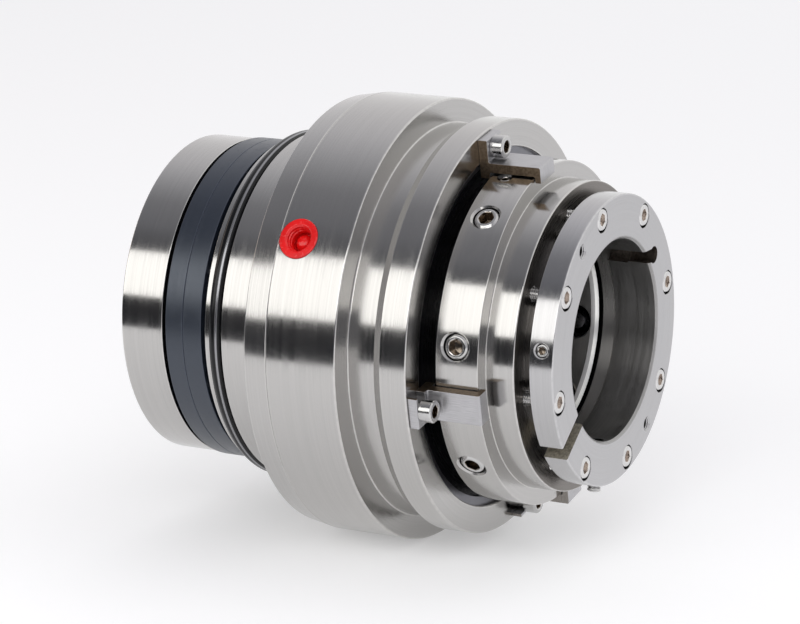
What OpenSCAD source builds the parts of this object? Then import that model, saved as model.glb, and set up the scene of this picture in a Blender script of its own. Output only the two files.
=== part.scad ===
// Cartridge mechanical seal for a large pump shaft.
// The shaft axis lies along X: the process side is at -X, the drive side at +X.
// The origin is on the axis, at the shoulder where the housing meets the seal chamber.
// All sizes are in millimetres, and the part is at 1:1. Radial sizes are given as
// heights over the shaft, so that a new shaft size carries the whole seal with it.
// Angles are measured about the axis from the top, towards -Y.

/* [Shaft and fits] */
// shaft diameter
shaft_d = 90; // [50:1:140]
// radial clearance of the shaft in the sleeve and the clamp ring
shaft_fit = 0.05; // [0.02:0.01:0.1]
// radial clearance between turned pieces that slide together
turned_fit = 0.05; // [0.02:0.01:0.15]
// radial clearance of a pin or screw in its hole
pin_fit = 0.05; // [0.02:0.01:0.2]
// radial clearance between the turning and the standing pieces
running_gap = 0.35; // [0.3:0.05:1]

/* [Housing outside] */
// height of the pilot spigot over the shaft
pilot_over = 34.5; // [30:0.5:50]
// length of the pilot spigot
pilot_length = 32.9; // [28:0.1:45]
// height of the lip before the seal ring over the shaft
lip_over = 31.6; // [27:0.1:45]
// height of the barrel over the shaft
barrel_over = 55.3; // [50:0.1:75]
// length of the barrel
barrel_length = 46; // [40:0.5:90]
// length of the slight lead taper at the barrel's inner end
lead_length = 11.6; // [5:0.1:20]
// how far the lead taper falls
lead_drop = 2; // [0.5:0.1:4]
// height of the neck over the shaft
neck_over = 44; // [42:0.1:60]
// length of the neck
neck_length = 14.2; // [8:0.1:30]
// fillet at each end of the neck
neck_fillet = 0.8; // [0.5:0.1:4]
// height of the flange over the shaft
flange_over = 48.4; // [44:0.1:70]
// thickness of the flange
flange_length = 16.2; // [12:0.1:30]
// width of the chamfer on the flange's neck side
flange_chamfer = 3.8; // [0.5:0.1:6]
// how far that chamfer falls
flange_chamfer_drop = 1.8; // [0.5:0.1:3]
// height of the flange's bore over the shaft
flange_bore_over = 36; // [33:0.1:44]
// small edge chamfer of the turned pieces
edge = 0.7; // [0.2:0.1:1.5]

/* [Housing seal ring] */
// cord diameter of the seal ring on the spigot
housing_ring_cord = 7; // [4:0.1:9]
// width of its groove
housing_groove_width = 7.6; // [4.5:0.1:10]
// width of the lip between the groove and the spigot's end
lip_width = 2.5; // [1.5:0.1:5]

/* [Ports] */
// place of the ports from the shoulder
port_x = 20.9; // [14:0.1:35]
// angle of the first port
port_angle = 59.5; // [0:0.5:180]
// number of ports, evenly spaced
port_count = 2; // [1:1:4]
// diameter of the port's tapped mouth
port_d = 15.8; // [8:0.1:20]
// diameter of the port's drilling into the housing
port_drill_d = 11; // [4:0.1:14]
// diameter of the plug's rim
plug_rim_d = 18.2; // [12:0.1:24]
// thickness of the plug's rim
plug_rim = 1.6; // [0.8:0.1:3]
// how deep the plug reaches
plug_depth = 11; // [6:0.5:16]
// diameter of the plug's hollow
plug_hollow_d = 10.4; // [5:0.1:14]

/* [Seal faces] */
// height of both seal faces over the shaft
face_over = 29.1; // [26:0.1:40]
// thickness of the rotating face outside its holder
rotating_face_length = 9; // [6:0.1:15]
// thickness of the stationary face outside the housing
stationary_face_length = 9.5; // [8:0.1:15]
// gap between the stationary face and the housing's lip
float_gap = 3.6; // [3:0.1:6]
// height of the stationary face's hub over the shaft
stationary_hub_over = 20.6; // [18:0.1:24]
// length of that hub inside the housing
stationary_hub_length = 20; // [16:0.5:26]
// inner height of both faces over the shaft
face_bore_over = 8.5; // [6:0.1:12]
// height of the rotating face's hub over the shaft
rotating_hub_over = 21; // [18:0.1:23]
// how deep that hub sits in the holder
rotating_hub_depth = 4.9; // [3.5:0.1:7]
// gap between the rotating face and the holder's rim
holder_gap = 2.1; // [1:0.1:3]
// cord of the small seal rings
small_cord = 2.6; // [2:0.1:3]

/* [Face springs and pins] */
// number of face springs
spring_count = 8; // [4:1:12]
// outside diameter of each spring
spring_d = 4; // [3:0.1:5]
// wire diameter of each spring
spring_wire = 0.7; // [0.4:0.1:1]
// depth of each spring's pocket in the housing
spring_pocket = 8; // [5:0.5:12]
// height of the springs' circle over the shaft
spring_circle_over = 24.4; // [22:0.1:28]
// diameter of the pins that stop the stationary face from turning
face_pin_d = 3.6; // [2:0.1:4.4]
// diameter of the pins that drive the rotating face
drive_pin_d = 4; // [3:0.1:6]
// number of those drive pins
drive_pin_count = 4; // [2:1:8]

/* [Sleeve and face holder] */
// wall of the shaft sleeve
sleeve_wall = 4.45; // [4.2:0.05:8]
// height of the face holder over the shaft
nose_over = 28.5; // [25:0.1:40]
// length of the face holder
nose_length = 21.4; // [19:0.1:40]
// height of the sleeve's end flange over the shaft
sleeve_flange_over = 15; // [13.5:0.1:17]
// thickness of that flange
sleeve_flange = 6; // [5:0.1:10]
// number of screws between the sleeve and the face holder
holder_screw_count = 6; // [4:1:12]

/* [Throttle bushing] */
// thickness of the throttle bushing
bushing_length = 9.5; // [6:0.5:12]
// thickness of the wall it lies against
bushing_wall = 4; // [3:0.5:8]
// width of the retaining ring
retainer_width = 2; // [1.5:0.1:3]
// how deep the retaining ring sits in the flange
retainer_depth = 2; // [1:0.1:3]

/* [Drive collar] */
// gap between the flange and the collar
setting_gap = 5.7; // [5.5:0.1:8]
// height of the collar's land over the shaft
collar_over = 32; // [30:0.1:45]
// length of the collar's land
collar_land = 20.4; // [18:0.1:35]
// height of the collar's step over the shaft
step_over = 24.3; // [21:0.1:28]
// length of the collar's step
step_length = 13.3; // [11:0.1:20]
// number of large set screws
set_screw_count = 8; // [3:1:8]
// angle of the first one
set_screw_angle = 38.5; // [0:0.5:90]
// diameter of the large set screws
set_screw_d = 12; // [6:1:13]
// place of the large set screws from the collar's inner end
set_screw_x = 9.4; // [8:0.1:16]
// diameter of the sleeve's holes for them
sleeve_hole_d = 15; // [11:0.5:16]
// how far the countersinks of the set screws' holes stand past the screws
set_sink = 1; // [0.4:0.1:2]
// diameter of the two small lock screws
lock_screw_d = 5; // [4:1:6]
// angle of the first lock screw
lock_screw_angle = 17.5; // [0:0.5:60]

/* [Clamp ring] */
// gap between the collar and the clamp ring
clamp_gap = 5; // [3:0.1:8]
// height of the clamp ring over the shaft
ring_over = 20; // [19.8:0.1:30]
// thickness of the clamp ring
ring_length = 11.2; // [9:0.1:18]
// half angle of the locking taper
taper_angle = 15.4; // [8:0.1:20]
// height of the taper's small end over the shaft
taper_over = 2.4; // [1.5:0.1:4]
// how far the ring's hub stays from the taper's small end
hub_back = 6.7; // [4:0.1:8]
// width of the slit
slit_width = 7.5; // [3:0.1:10]
// angle of the slit
slit_angle = 127.5; // [0:0.5:360]
// diameter of the round end of the relief notch opposite the slit
relief_d = 7.8; // [4:0.1:9]
// height of that round end over the shaft
relief_over = 5.7; // [4:0.1:7]
// width of the leaning slot between the round end and the bore
relief_slot = 6.2; // [3:0.1:8]
// lean of that slot
relief_lean = 37; // [0:1:45]
// number of clamp screws
clamp_screw_count = 8; // [4:1:12]
// angle of the first clamp screw
clamp_screw_angle = 15; // [0:0.5:90]
// thread diameter of the clamp and clip screws
cap_screw_d = 6; // [4:1:6]
// height of the clamp screws' circle over the shaft
clamp_circle_over = 13.8; // [13:0.1:16]

/* [Setting clips] */
// number of setting clips
clip_count = 4; // [2:1:4]
// angle of the first clip
clip_angle = 12; // [0:0.5:60]
// width of a clip
clip_width = 14; // [10:0.5:20]
// thickness of a clip's bar
clip_bar = 4.4; // [3:0.1:5]
// height of a clip's foot over the shaft
clip_foot_over = 47.2; // [44:0.1:60]
// reach of a clip's hook and heel below the collar's land
clip_bite = 2.5; // [1:0.1:4]

/* [Hidden] */
$fn = 96;
tiny = 0.01;
shaft_r = shaft_d / 2;
bore_r = shaft_r + shaft_fit;
sleeve_r = bore_r + sleeve_wall;
pilot_r = shaft_r + pilot_over;
lip_r = shaft_r + lip_over;
barrel_r = shaft_r + barrel_over;
neck_r = shaft_r + neck_over;
flange_r = shaft_r + flange_over;
flange_bore_r = shaft_r + flange_bore_over;
face_r = shaft_r + face_over;
face_bore_r = shaft_r + face_bore_over;
nose_r = shaft_r + nose_over;
collar_r = shaft_r + collar_over;
step_r = shaft_r + step_over;
ring_r = shaft_r + ring_over;
stat_hub_r = shaft_r + stationary_hub_over;
rot_hub_r = shaft_r + rotating_hub_over;
// places along the axis, from the process end to the drive end
x_lip = -pilot_length;
x_stat_back = x_lip - float_gap;
x_seal = x_stat_back - stationary_face_length;
x_rot_back = x_seal - rotating_face_length;
x_holder = x_rot_back - holder_gap;
x_nose = x_holder - nose_length;
x_neck = barrel_length;
x_flange = x_neck + neck_length;
x_face = x_flange + flange_length;
x_collar = x_face + setting_gap;
x_step = x_collar + collar_land;
x_collar_end = x_step + step_length;
x_ring = x_collar_end + clamp_gap;
x_end = x_ring + ring_length;
// inside of the housing
spring_r = shaft_r + spring_circle_over;
spring_hole_r = spring_d / 2 + 0.3;
hub_end = x_stat_back + stationary_hub_length + float_gap + 0.9;
seat_bore_r = stat_hub_r + 0.1;
chamber_r = stat_hub_r + 4.4;
x_chamber = hub_end + 4;
x_bushing = x_face - retainer_width - 2.2 - bushing_length;
x_chamber_end = x_bushing - bushing_wall;
wall_bore_r = sleeve_r + 6.5;
bushing_bore_r = sleeve_r + running_gap;
bushing_r = flange_bore_r - 0.4;
x_retainer = x_bushing + bushing_length;
// ring grooves; each cord stays a hair clear of the two walls it seals
cord_air = 0.02;
// the ring on the spigot is pressed flat by the chamber's bore, to just under the spigot
pressed_r = pilot_r - 0.1;
groove_bottom_r = pilot_r + 0.6 - housing_ring_cord;
groove_x0 = x_lip + lip_width;
inner_groove_x0 = hub_end - 7.4;
small_groove = small_cord + 0.6;
// rotating face seat and its pins
seat_floor_x = x_holder - rotating_hub_depth;
seat_r = rot_hub_r + turned_fit;
drive_pin_r = (face_bore_r + rot_hub_r) / 2 + 0.4;
// sleeve and holder screws
x_sleeve_step = x_nose + sleeve_flange;
sleeve_flange_r = shaft_r + sleeve_flange_over;
holder_screw_r = (sleeve_r + sleeve_flange_r) / 2 + 0.1;
x_sleeve_end = x_step + 0.1;
x_taper = x_step + 2;
set_x = x_collar + set_screw_x;
// taper
taper_r0 = shaft_r + taper_over;
x_hub = x_taper + hub_back;
// clamp screws
clamp_circle_r = shaft_r + clamp_circle_over;
cap_head_r = cap_screw_d * 0.83;
cap_head_h = cap_screw_d;
cap_seat = cap_head_h + 0.2;
cap_seat_r = cap_head_r + 0.5;
clamp_screw_length = ring_length - cap_seat + clamp_gap + step_length - 1.6;
// setting clips
clip_in_r = collar_r + 0.4;
clip_out_r = clip_in_r + clip_bar;
clip_low_r = collar_r - clip_bite;
clip_foot_r = shaft_r + clip_foot_over;
clip_hook_x = x_step + 0.2;
clip_end_x = clip_hook_x + 2.8;
clip_screw_r = clip_out_r + cap_head_r + 0.6;
clip_screw_length = clip_bar + 10;

// a turned solid from a list of [radius, place along the axis]
module turned(points) {
  rotate([0, 90, 0])
    rotate_extrude()
      polygon(points);
}

// a plain turned ring
module ring(x0, x1, r0, r1) {
  turned([[r0, x0], [r1, x0], [r1, x1], [r0, x1]]);
}

// a round cord bent to a ring
module cord_ring(x, r, d) {
  rotate([0, 90, 0])
    rotate_extrude()
      translate([r, x])
        circle(d = d, $fn = 32);
}

// children stand at the top and are carried to an angle
module at_angle(a) {
  rotate([a, 0, 0])
    children();
}

// a drilling along the axis, at a radius
module axial(x0, x1, r, d, sides = 48) {
  translate([x0, 0, r])
    rotate([0, 90, 0])
      cylinder(d = d, h = x1 - x0, $fn = sides);
}

// a drilling towards the axis
module radial(x, r0, r1, d, sides = 48) {
  translate([x, 0, r0])
    cylinder(d = d, h = r1 - r0, $fn = sides);
}

// a socket cap screw standing on Z, its head's top at zero
module cap_screw(d, length, head_r, head_h) {
  c = d * 0.08;
  difference() {
    rotate_extrude($fn = 48)
      polygon([[0, 0], [head_r - c, 0], [head_r, -c], [head_r, -head_h],
        [d / 2, -head_h], [d / 2, -head_h - length + c],
        [d / 2 - c, -head_h - length], [0, -head_h - length]]);
    translate([0, 0, -head_h * 0.55])
      cylinder(d = d * 0.96, h = head_h, $fn = 6);
  }
}

// a socket set screw standing on Z, its top at zero
module set_screw(d, length) {
  c = d * 0.08;
  difference() {
    rotate_extrude($fn = 48)
      polygon([[0, 0], [d / 2 - c, 0], [d / 2, -c], [d / 2, -length + d * 0.2],
        [d * 0.3, -length], [0, -length + d * 0.1]]);
    translate([0, 0, -d * 0.55])
      cylinder(d = d * 0.58, h = d, $fn = 6);
  }
}

// a coil spring along X, from zero to its length
function coil_point(i, k, n, turns, rad, wire, length) =
  let(t = i / n)
  let(a = 360 * turns * t)
  let(b = 360 * k / 6)
  let(rr = rad + wire / 2 * cos(b))
  [wire / 2 + (length - wire) * t + wire / 2 * sin(b), rr * cos(a), rr * sin(a)];

module coil(turns, rad, wire, length) {
  n = turns * 12;
  points = [for (i = [0:n]) for (k = [0:5]) coil_point(i, k, n, turns, rad, wire, length)];
  sides = [for (i = [0:n - 1]) for (k = [0:5])
    [i * 6 + k, i * 6 + (k + 1) % 6, (i + 1) * 6 + (k + 1) % 6, (i + 1) * 6 + k]];
  first = [for (k = [0:5]) 5 - k];
  last = [for (k = [0:5]) n * 6 + k];
  polyhedron(points = points, faces = concat(sides, [first, last]), convexity = 8);
}

// Housing: spigot, barrel, neck and flange, turned from one bar.
module housing_profile() {
  turned([
    [seat_bore_r + edge, x_lip], [lip_r - edge, x_lip], [lip_r, x_lip + edge],
    [lip_r, groove_x0], [groove_bottom_r, groove_x0],
    [groove_bottom_r, groove_x0 + housing_groove_width],
    [pilot_r - 0.3, groove_x0 + housing_groove_width],
    [pilot_r, groove_x0 + housing_groove_width + 0.3],
    [pilot_r, 0], [barrel_r - lead_drop - edge, 0],
    [barrel_r - lead_drop, edge], [barrel_r, lead_length],
    [barrel_r - 0.3, lead_length + 0.25], [barrel_r, lead_length + 0.5],
    [barrel_r, x_neck - edge], [barrel_r - edge, x_neck],
    [neck_r + neck_fillet, x_neck], [neck_r + neck_fillet * 0.3, x_neck + neck_fillet * 0.3],
    [neck_r, x_neck + neck_fillet],
    [neck_r, x_flange - neck_fillet * 0.6], [neck_r + neck_fillet * 0.6, x_flange],
    [flange_r - flange_chamfer_drop, x_flange], [flange_r, x_flange + flange_chamfer],
    [flange_r, x_face - edge], [flange_r - edge, x_face],
    [flange_bore_r + edge, x_face], [flange_bore_r, x_face - edge],
    [flange_bore_r, x_retainer + retainer_width + 0.2],
    [flange_bore_r + retainer_depth, x_retainer + retainer_width + 0.2],
    [flange_bore_r + retainer_depth, x_retainer],
    [flange_bore_r, x_retainer], [flange_bore_r, x_bushing],
    [wall_bore_r, x_bushing], [wall_bore_r, x_chamber_end],
    [chamber_r, x_chamber_end], [chamber_r, x_chamber],
    [seat_bore_r, x_chamber], [seat_bore_r, inner_groove_x0 + small_groove],
    [seat_bore_r + small_cord - 0.1, inner_groove_x0 + small_groove],
    [seat_bore_r + small_cord - 0.1, inner_groove_x0],
    [seat_bore_r, inner_groove_x0], [seat_bore_r, x_lip + edge]]);
}

module gland_housing() {
  color([0.76, 0.75, 0.74])
    difference() {
      housing_profile();
      for (i = [0:port_count - 1])
        at_angle(port_angle + i * 360 / port_count) {
          radial(port_x, chamber_r - 2, barrel_r, port_drill_d);
          radial(port_x, barrel_r - plug_depth - 2, barrel_r + 5, port_d);
          radial(port_x, barrel_r - 1.2, barrel_r + 5, plug_rim_d + 0.4);
        }
      for (i = [0:spring_count - 1])
        at_angle((i + 0.5) * 360 / spring_count)
          axial(x_lip - 1, x_lip + spring_pocket, spring_r, 2 * spring_hole_r);
      for (a = [0, 180])
        at_angle(a)
          axial(x_lip - 1, x_lip + 6, spring_r, face_pin_d + 2 * pin_fit);
      at_angle(0)
        axial(x_bushing - bushing_wall + 1, x_bushing + 1, wall_bore_r + 6, 4 + 2 * pin_fit);
      for (i = [0:clip_count - 1])
        at_angle(clip_angle + i * 360 / clip_count)
          axial(x_face - 11, x_face + 1, clip_screw_r, cap_screw_d + 2 * pin_fit);
    }
}

// Round cord, drawn as it lies in the chamber's bore, which presses its crown flat.
module housing_o_ring() {
  color([0.05, 0.05, 0.05])
    intersection() {
      cord_ring(groove_x0 + housing_groove_width / 2,
        groove_bottom_r + housing_ring_cord / 2 + cord_air, housing_ring_cord);
      translate([groove_x0 - 1, 0, 0])
        rotate([0, 90, 0])
          cylinder(r = pressed_r, h = housing_groove_width + 2);
    }
}

// Hollow plug that closes a port until the pipe is fitted.
module port_plugs() {
  top = barrel_r - 1.2;
  color([0.86, 0.04, 0.05])
    for (i = [0:port_count - 1])
      at_angle(port_angle + i * 360 / port_count)
        translate([port_x, 0, top])
          rotate_extrude($fn = 64)
            polygon([[0, -plug_depth], [port_d / 2 - pin_fit - 0.6, -plug_depth],
              [port_d / 2 - pin_fit, -plug_depth + 1.2], [port_d / 2 - pin_fit, 0],
              [plug_rim_d / 2, 0], [plug_rim_d / 2, plug_rim - 0.4],
              [plug_rim_d / 2 - 0.4, plug_rim], [plug_hollow_d / 2 + 0.6, plug_rim],
              [plug_hollow_d / 2, plug_rim - 0.6], [plug_hollow_d / 2, -3],
              [plug_hollow_d / 2 - 1.6, -3], [plug_hollow_d / 2 - 1.6, -plug_depth + 1.8],
              [0, -plug_depth + 1.8]]);
}

module stationary_face() {
  color([0.25, 0.26, 0.3])
    difference() {
      turned([
        [face_bore_r, x_seal + 1], [face_bore_r + 7, x_seal + 1], [face_bore_r + 7, x_seal],
        [face_r - 0.25, x_seal], [face_r, x_seal + 0.25],
        [face_r, x_stat_back - 0.5], [face_r - 0.5, x_stat_back],
        [stat_hub_r, x_stat_back], [stat_hub_r, hub_end - float_gap - 0.6],
        [stat_hub_r - 0.6, hub_end - float_gap], [face_bore_r, hub_end - float_gap]]);
      for (a = [0, 180])
        at_angle(a)
          axial(x_stat_back - 6.2, x_stat_back + 1, spring_r, face_pin_d + 0.6);
    }
}

module stationary_o_ring() {
  d = small_cord - 0.1 + (seat_bore_r - stat_hub_r);
  color([0.05, 0.05, 0.05])
    cord_ring(inner_groove_x0 + small_groove / 2, stat_hub_r + d / 2, d - 2 * cord_air);
}

module face_springs() {
  color([0.7, 0.7, 0.68])
    for (i = [0:spring_count - 1])
      at_angle((i + 0.5) * 360 / spring_count)
        translate([x_stat_back, 0, spring_r])
          coil(5, (spring_d - spring_wire) / 2, spring_wire, float_gap + spring_pocket);
}

module anti_turn_pins() {
  color([0.72, 0.72, 0.7])
    for (a = [0, 180])
      at_angle(a)
        axial(x_stat_back - 3, x_lip + 6, spring_r, face_pin_d);
}

module throttle_bushing() {
  color([0.16, 0.16, 0.18])
    difference() {
      turned([
        [bushing_bore_r + 0.6, x_bushing], [bushing_r - 0.6, x_bushing],
        [bushing_r, x_bushing + 0.6], [bushing_r, x_retainer - 0.6],
        [bushing_r - 0.6, x_retainer], [bushing_bore_r + 0.6, x_retainer],
        [bushing_bore_r, x_retainer - 0.6], [bushing_bore_r, x_bushing + 0.6]]);
      axial(x_bushing - 1, x_bushing + 4.2, wall_bore_r + 6, 4.6);
    }
}

module bushing_pin() {
  color([0.72, 0.72, 0.7])
    axial(x_bushing - bushing_wall + 1, x_bushing + 3.6, wall_bore_r + 6, 4);
}

// Split spring-steel ring that holds the throttle bushing in the flange.
module retaining_ring() {
  color([0.3, 0.3, 0.32])
    difference() {
      ring(x_retainer, x_retainer + retainer_width, flange_bore_r - 4,
        flange_bore_r + retainer_depth - 0.1);
      at_angle(200)
        translate([x_retainer - 1, -5, flange_bore_r - 8])
          cube([retainer_width + 2, 10, 14]);
      for (s = [-1, 1])
        at_angle(200 + s * 6)
          axial(x_retainer - 1, x_retainer + retainer_width + 1, flange_bore_r - 1.8, 2);
    }
}

// Bent bar that holds the collar and the housing at the set distance.
module setting_clip(i) {
  color([0.62, 0.58, 0.52])
    at_angle(clip_angle + i * 360 / clip_count)
      difference() {
        rotate([90, 0, 0])
          linear_extrude(height = clip_width, center = true)
            polygon([[x_face, clip_low_r], [x_face + clip_bar, clip_low_r],
              [x_face + clip_bar, clip_in_r], [clip_hook_x, clip_in_r],
              [clip_hook_x, clip_low_r], [clip_end_x, clip_low_r],
              [clip_end_x, clip_out_r - 0.6], [clip_end_x - 0.6, clip_out_r],
              [x_face + clip_bar + 0.4, clip_out_r], [x_face + clip_bar, clip_out_r + 0.4],
              [x_face + clip_bar, clip_foot_r], [x_face, clip_foot_r]]);
        axial(x_face - 1, x_face + clip_bar + 1, clip_screw_r, cap_screw_d + 0.6);
        translate([x_face - 1, 0, clip_screw_r - cap_screw_d / 2 - 0.3])
          cube([clip_bar + 2, clip_width, cap_screw_d + 0.6]);
      }
}

module clip_screws() {
  color([0.8, 0.79, 0.77])
    for (i = [0:clip_count - 1])
      at_angle(clip_angle + i * 360 / clip_count)
        translate([x_face + clip_bar + cap_head_h, 0, clip_screw_r])
          rotate([0, 90, 0])
            cap_screw(cap_screw_d, clip_screw_length, cap_head_r, cap_head_h);
}

module shaft_sleeve() {
  groove_x = x_nose + nose_length * 0.72;
  color([0.74, 0.73, 0.72])
    difference() {
      turned([
        [bore_r + 1, x_nose], [sleeve_flange_r - 0.5, x_nose], [sleeve_flange_r, x_nose + 0.5],
        [sleeve_flange_r, x_sleeve_step], [sleeve_r, x_sleeve_step],
        [sleeve_r, x_sleeve_end - 2.6], [sleeve_r - 2.6, x_sleeve_end],
        [bore_r + 0.75, x_sleeve_end - 2], [bore_r, x_sleeve_end - 3.2],
        [bore_r, groove_x + small_groove], [bore_r + small_cord, groove_x + small_groove],
        [bore_r + small_cord, groove_x], [bore_r, groove_x], [bore_r, x_nose + 1]]);
      for (i = [0:set_screw_count - 1])
        at_angle(set_screw_angle + i * 360 / set_screw_count)
          radial(set_x, bore_r - 3, sleeve_r + 3, sleeve_hole_d);
      for (i = [0:holder_screw_count - 1])
        at_angle(i * 360 / holder_screw_count) {
          axial(x_nose - 1, x_sleeve_step + 1, holder_screw_r, 4.4);
          axial(x_nose - 1, x_nose + 4.2, holder_screw_r, 7.4);
        }
    }
}

module face_holder() {
  inner_r = sleeve_r + turned_fit;
  groove_x = x_sleeve_step + 2.4;
  color([0.76, 0.75, 0.74])
    difference() {
      turned([
        [sleeve_flange_r + turned_fit, x_nose], [nose_r - edge, x_nose], [nose_r, x_nose + edge],
        [nose_r, x_holder - 0.4], [nose_r - 0.4, x_holder],
        [seat_r + 0.4, x_holder], [seat_r, x_holder - 0.4], [seat_r, seat_floor_x],
        [inner_r, seat_floor_x], [inner_r, groove_x + small_groove],
        [inner_r + small_cord - 0.4, groove_x + small_groove],
        [inner_r + small_cord - 0.4, groove_x], [inner_r, groove_x],
        [inner_r, x_sleeve_step], [sleeve_flange_r + turned_fit, x_sleeve_step]]);
      for (i = [0:drive_pin_count - 1])
        at_angle((i + 0.5) * 360 / drive_pin_count)
          axial(seat_floor_x - 5, seat_floor_x + 1, drive_pin_r, drive_pin_d + 2 * pin_fit);
      for (i = [0:holder_screw_count - 1])
        at_angle(i * 360 / holder_screw_count)
          axial(x_sleeve_step - 1, x_sleeve_step + 7, holder_screw_r, 4 + 2 * pin_fit);
    }
}

module holder_screws() {
  color([0.8, 0.79, 0.77])
    for (i = [0:holder_screw_count - 1])
      at_angle(i * 360 / holder_screw_count)
        translate([x_nose + 0.2, 0, holder_screw_r])
          rotate([0, -90, 0])
            cap_screw(4, 8, 3.5, 4);
}

module sleeve_o_ring() {
  groove_x = x_nose + nose_length * 0.72;
  color([0.05, 0.05, 0.05])
    cord_ring(groove_x + small_groove / 2, bore_r + small_cord / 2, small_cord - 2 * cord_air);
}

module holder_o_ring() {
  groove_x = x_sleeve_step + 2.4;
  d = small_cord - 0.4 + turned_fit;
  color([0.05, 0.05, 0.05])
    cord_ring(groove_x + small_groove / 2, sleeve_r + d / 2, d - 2 * cord_air);
}

module rotating_face() {
  back = seat_floor_x;
  color([0.25, 0.26, 0.3])
    difference() {
      turned([
        [face_bore_r, back], [rot_hub_r - 0.5, back], [rot_hub_r, back + 0.5],
        [rot_hub_r, x_rot_back], [face_r - 0.4, x_rot_back],
        [face_r, x_rot_back + 0.4], [face_r, x_seal - 0.25],
        [face_r - 0.25, x_seal], [face_bore_r, x_seal]]);
      for (i = [0:drive_pin_count - 1])
        at_angle((i + 0.5) * 360 / drive_pin_count)
          axial(back - 1, back + 4.6, drive_pin_r, drive_pin_d + 0.4);
    }
}

// Seal ring in the step between the rotating face and its holder.
module rotating_o_ring() {
  d = holder_gap;
  color([0.05, 0.05, 0.05])
    cord_ring(x_rot_back - d / 2, rot_hub_r + d / 2 + cord_air, d - 2 * cord_air);
}

module drive_pins() {
  color([0.72, 0.72, 0.7])
    for (i = [0:drive_pin_count - 1])
      at_angle((i + 0.5) * 360 / drive_pin_count)
        axial(seat_floor_x - 5, seat_floor_x + 4, drive_pin_r, drive_pin_d);
}

module drive_collar() {
  inner_r = sleeve_r + turned_fit;
  end_r = taper_r0 + (x_collar_end - x_taper) * tan(taper_angle);
  color([0.76, 0.75, 0.74])
    difference() {
      turned([
        [inner_r + 0.6, x_collar], [collar_r - edge, x_collar], [collar_r, x_collar + edge],
        [collar_r, x_step - 0.3], [collar_r - 0.3, x_step],
        [step_r + 0.4, x_step], [step_r, x_step + 0.4],
        [step_r, x_collar_end - edge], [step_r - edge, x_collar_end],
        [end_r, x_collar_end], [taper_r0, x_taper], [taper_r0, x_taper - 0.5],
        [inner_r, x_taper - 0.5], [inner_r, x_collar + 0.6]]);
      for (i = [0:set_screw_count - 1])
        at_angle(set_screw_angle + i * 360 / set_screw_count) {
          radial(set_x, shaft_r, collar_r + 3, set_screw_d + 2 * pin_fit);
          translate([set_x, 0, collar_r - 1.3])
            cylinder(r1 = set_screw_d / 2 + pin_fit, r2 = set_screw_d / 2 + set_sink + 0.2, h = 1.5);
        }
      for (i = [0, 1])
        at_angle(lock_screw_angle + i * 180)
          radial(x_collar + 6.9, sleeve_r - 1, collar_r + 3, lock_screw_d + 2 * pin_fit);
      for (i = [0:clamp_screw_count - 1])
        at_angle(clamp_screw_angle + i * 360 / clamp_screw_count)
          axial(x_step + 0.8, x_collar_end + 1, clamp_circle_r, cap_screw_d + 2 * pin_fit);
    }
}

module set_screws() {
  color([0.8, 0.79, 0.77])
    for (i = [0:set_screw_count - 1])
      at_angle(set_screw_angle + i * 360 / set_screw_count)
        translate([set_x, 0, collar_r - 1.6])
          set_screw(set_screw_d, collar_r - 1.6 - sleeve_r + 2.5);
}

module lock_screws() {
  color([0.8, 0.79, 0.77])
    for (i = [0, 1])
      at_angle(lock_screw_angle + i * 180)
        translate([x_collar + 6.9, 0, collar_r - 0.6])
          set_screw(lock_screw_d, collar_r - 0.6 - sleeve_r - 0.1);
}

// Split ring with a tapered hub that is drawn into the collar to grip the shaft.
module clamp_ring() {
  hub_r = taper_r0 - 0.05 + (x_hub - x_taper) * tan(taper_angle);
  root_r = taper_r0 - 0.05 + (x_ring - x_taper) * tan(taper_angle);
  color([0.76, 0.75, 0.74])
    difference() {
      turned([
        [bore_r + 0.5, x_hub], [hub_r, x_hub], [root_r, x_ring],
        [ring_r - edge, x_ring], [ring_r, x_ring + edge],
        [ring_r, x_end - edge], [ring_r - edge, x_end],
        [bore_r + 1.5, x_end], [bore_r, x_end - 1.5], [bore_r, x_hub + 0.5]]);
      at_angle(slit_angle)
        translate([x_hub - 1, -slit_width / 2, 1])
          cube([x_end - x_hub + 2, slit_width, ring_r + 5]);
      at_angle(slit_angle + 180) {
        axial(x_hub - 1, x_end + 1, shaft_r + relief_over, relief_d);
        translate([x_hub - 1, 0, shaft_r + relief_over])
          rotate([-relief_lean, 0, 0])
            translate([0, -relief_slot / 2, -relief_d - relief_over])
              cube([x_end - x_hub + 2, relief_slot, relief_d + relief_over]);
      }
      for (i = [0:clamp_screw_count - 1])
        at_angle(clamp_screw_angle + i * 360 / clamp_screw_count) {
          axial(x_ring - 1, x_end + 1, clamp_circle_r, cap_screw_d + 0.6);
          axial(x_end - cap_seat, x_end + 1, clamp_circle_r, 2 * cap_seat_r);
        }
      for (a = [37.5, 217.5])
        at_angle(a) {
          axial(x_ring - 1, x_end + 1, clamp_circle_r, 5);
          translate([x_end - 0.7, 0, clamp_circle_r])
            rotate([0, 90, 0])
              cylinder(r1 = 2.5, r2 = 3.3, h = 0.8);
        }
      for (a = [slit_angle - 45, slit_angle + 45])
        at_angle(a) {
          radial(x_ring + ring_length / 2, bore_r - 3, ring_r + 3, 6 + 2 * pin_fit);
        }
    }
}

module clamp_screws() {
  color([0.8, 0.79, 0.77])
    for (i = [0:clamp_screw_count - 1])
      at_angle(clamp_screw_angle + i * 360 / clamp_screw_count)
        translate([x_end - cap_seat + cap_head_h, 0, clamp_circle_r])
          rotate([0, 90, 0])
            cap_screw(cap_screw_d, clamp_screw_length, cap_head_r, cap_head_h);
}

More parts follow.
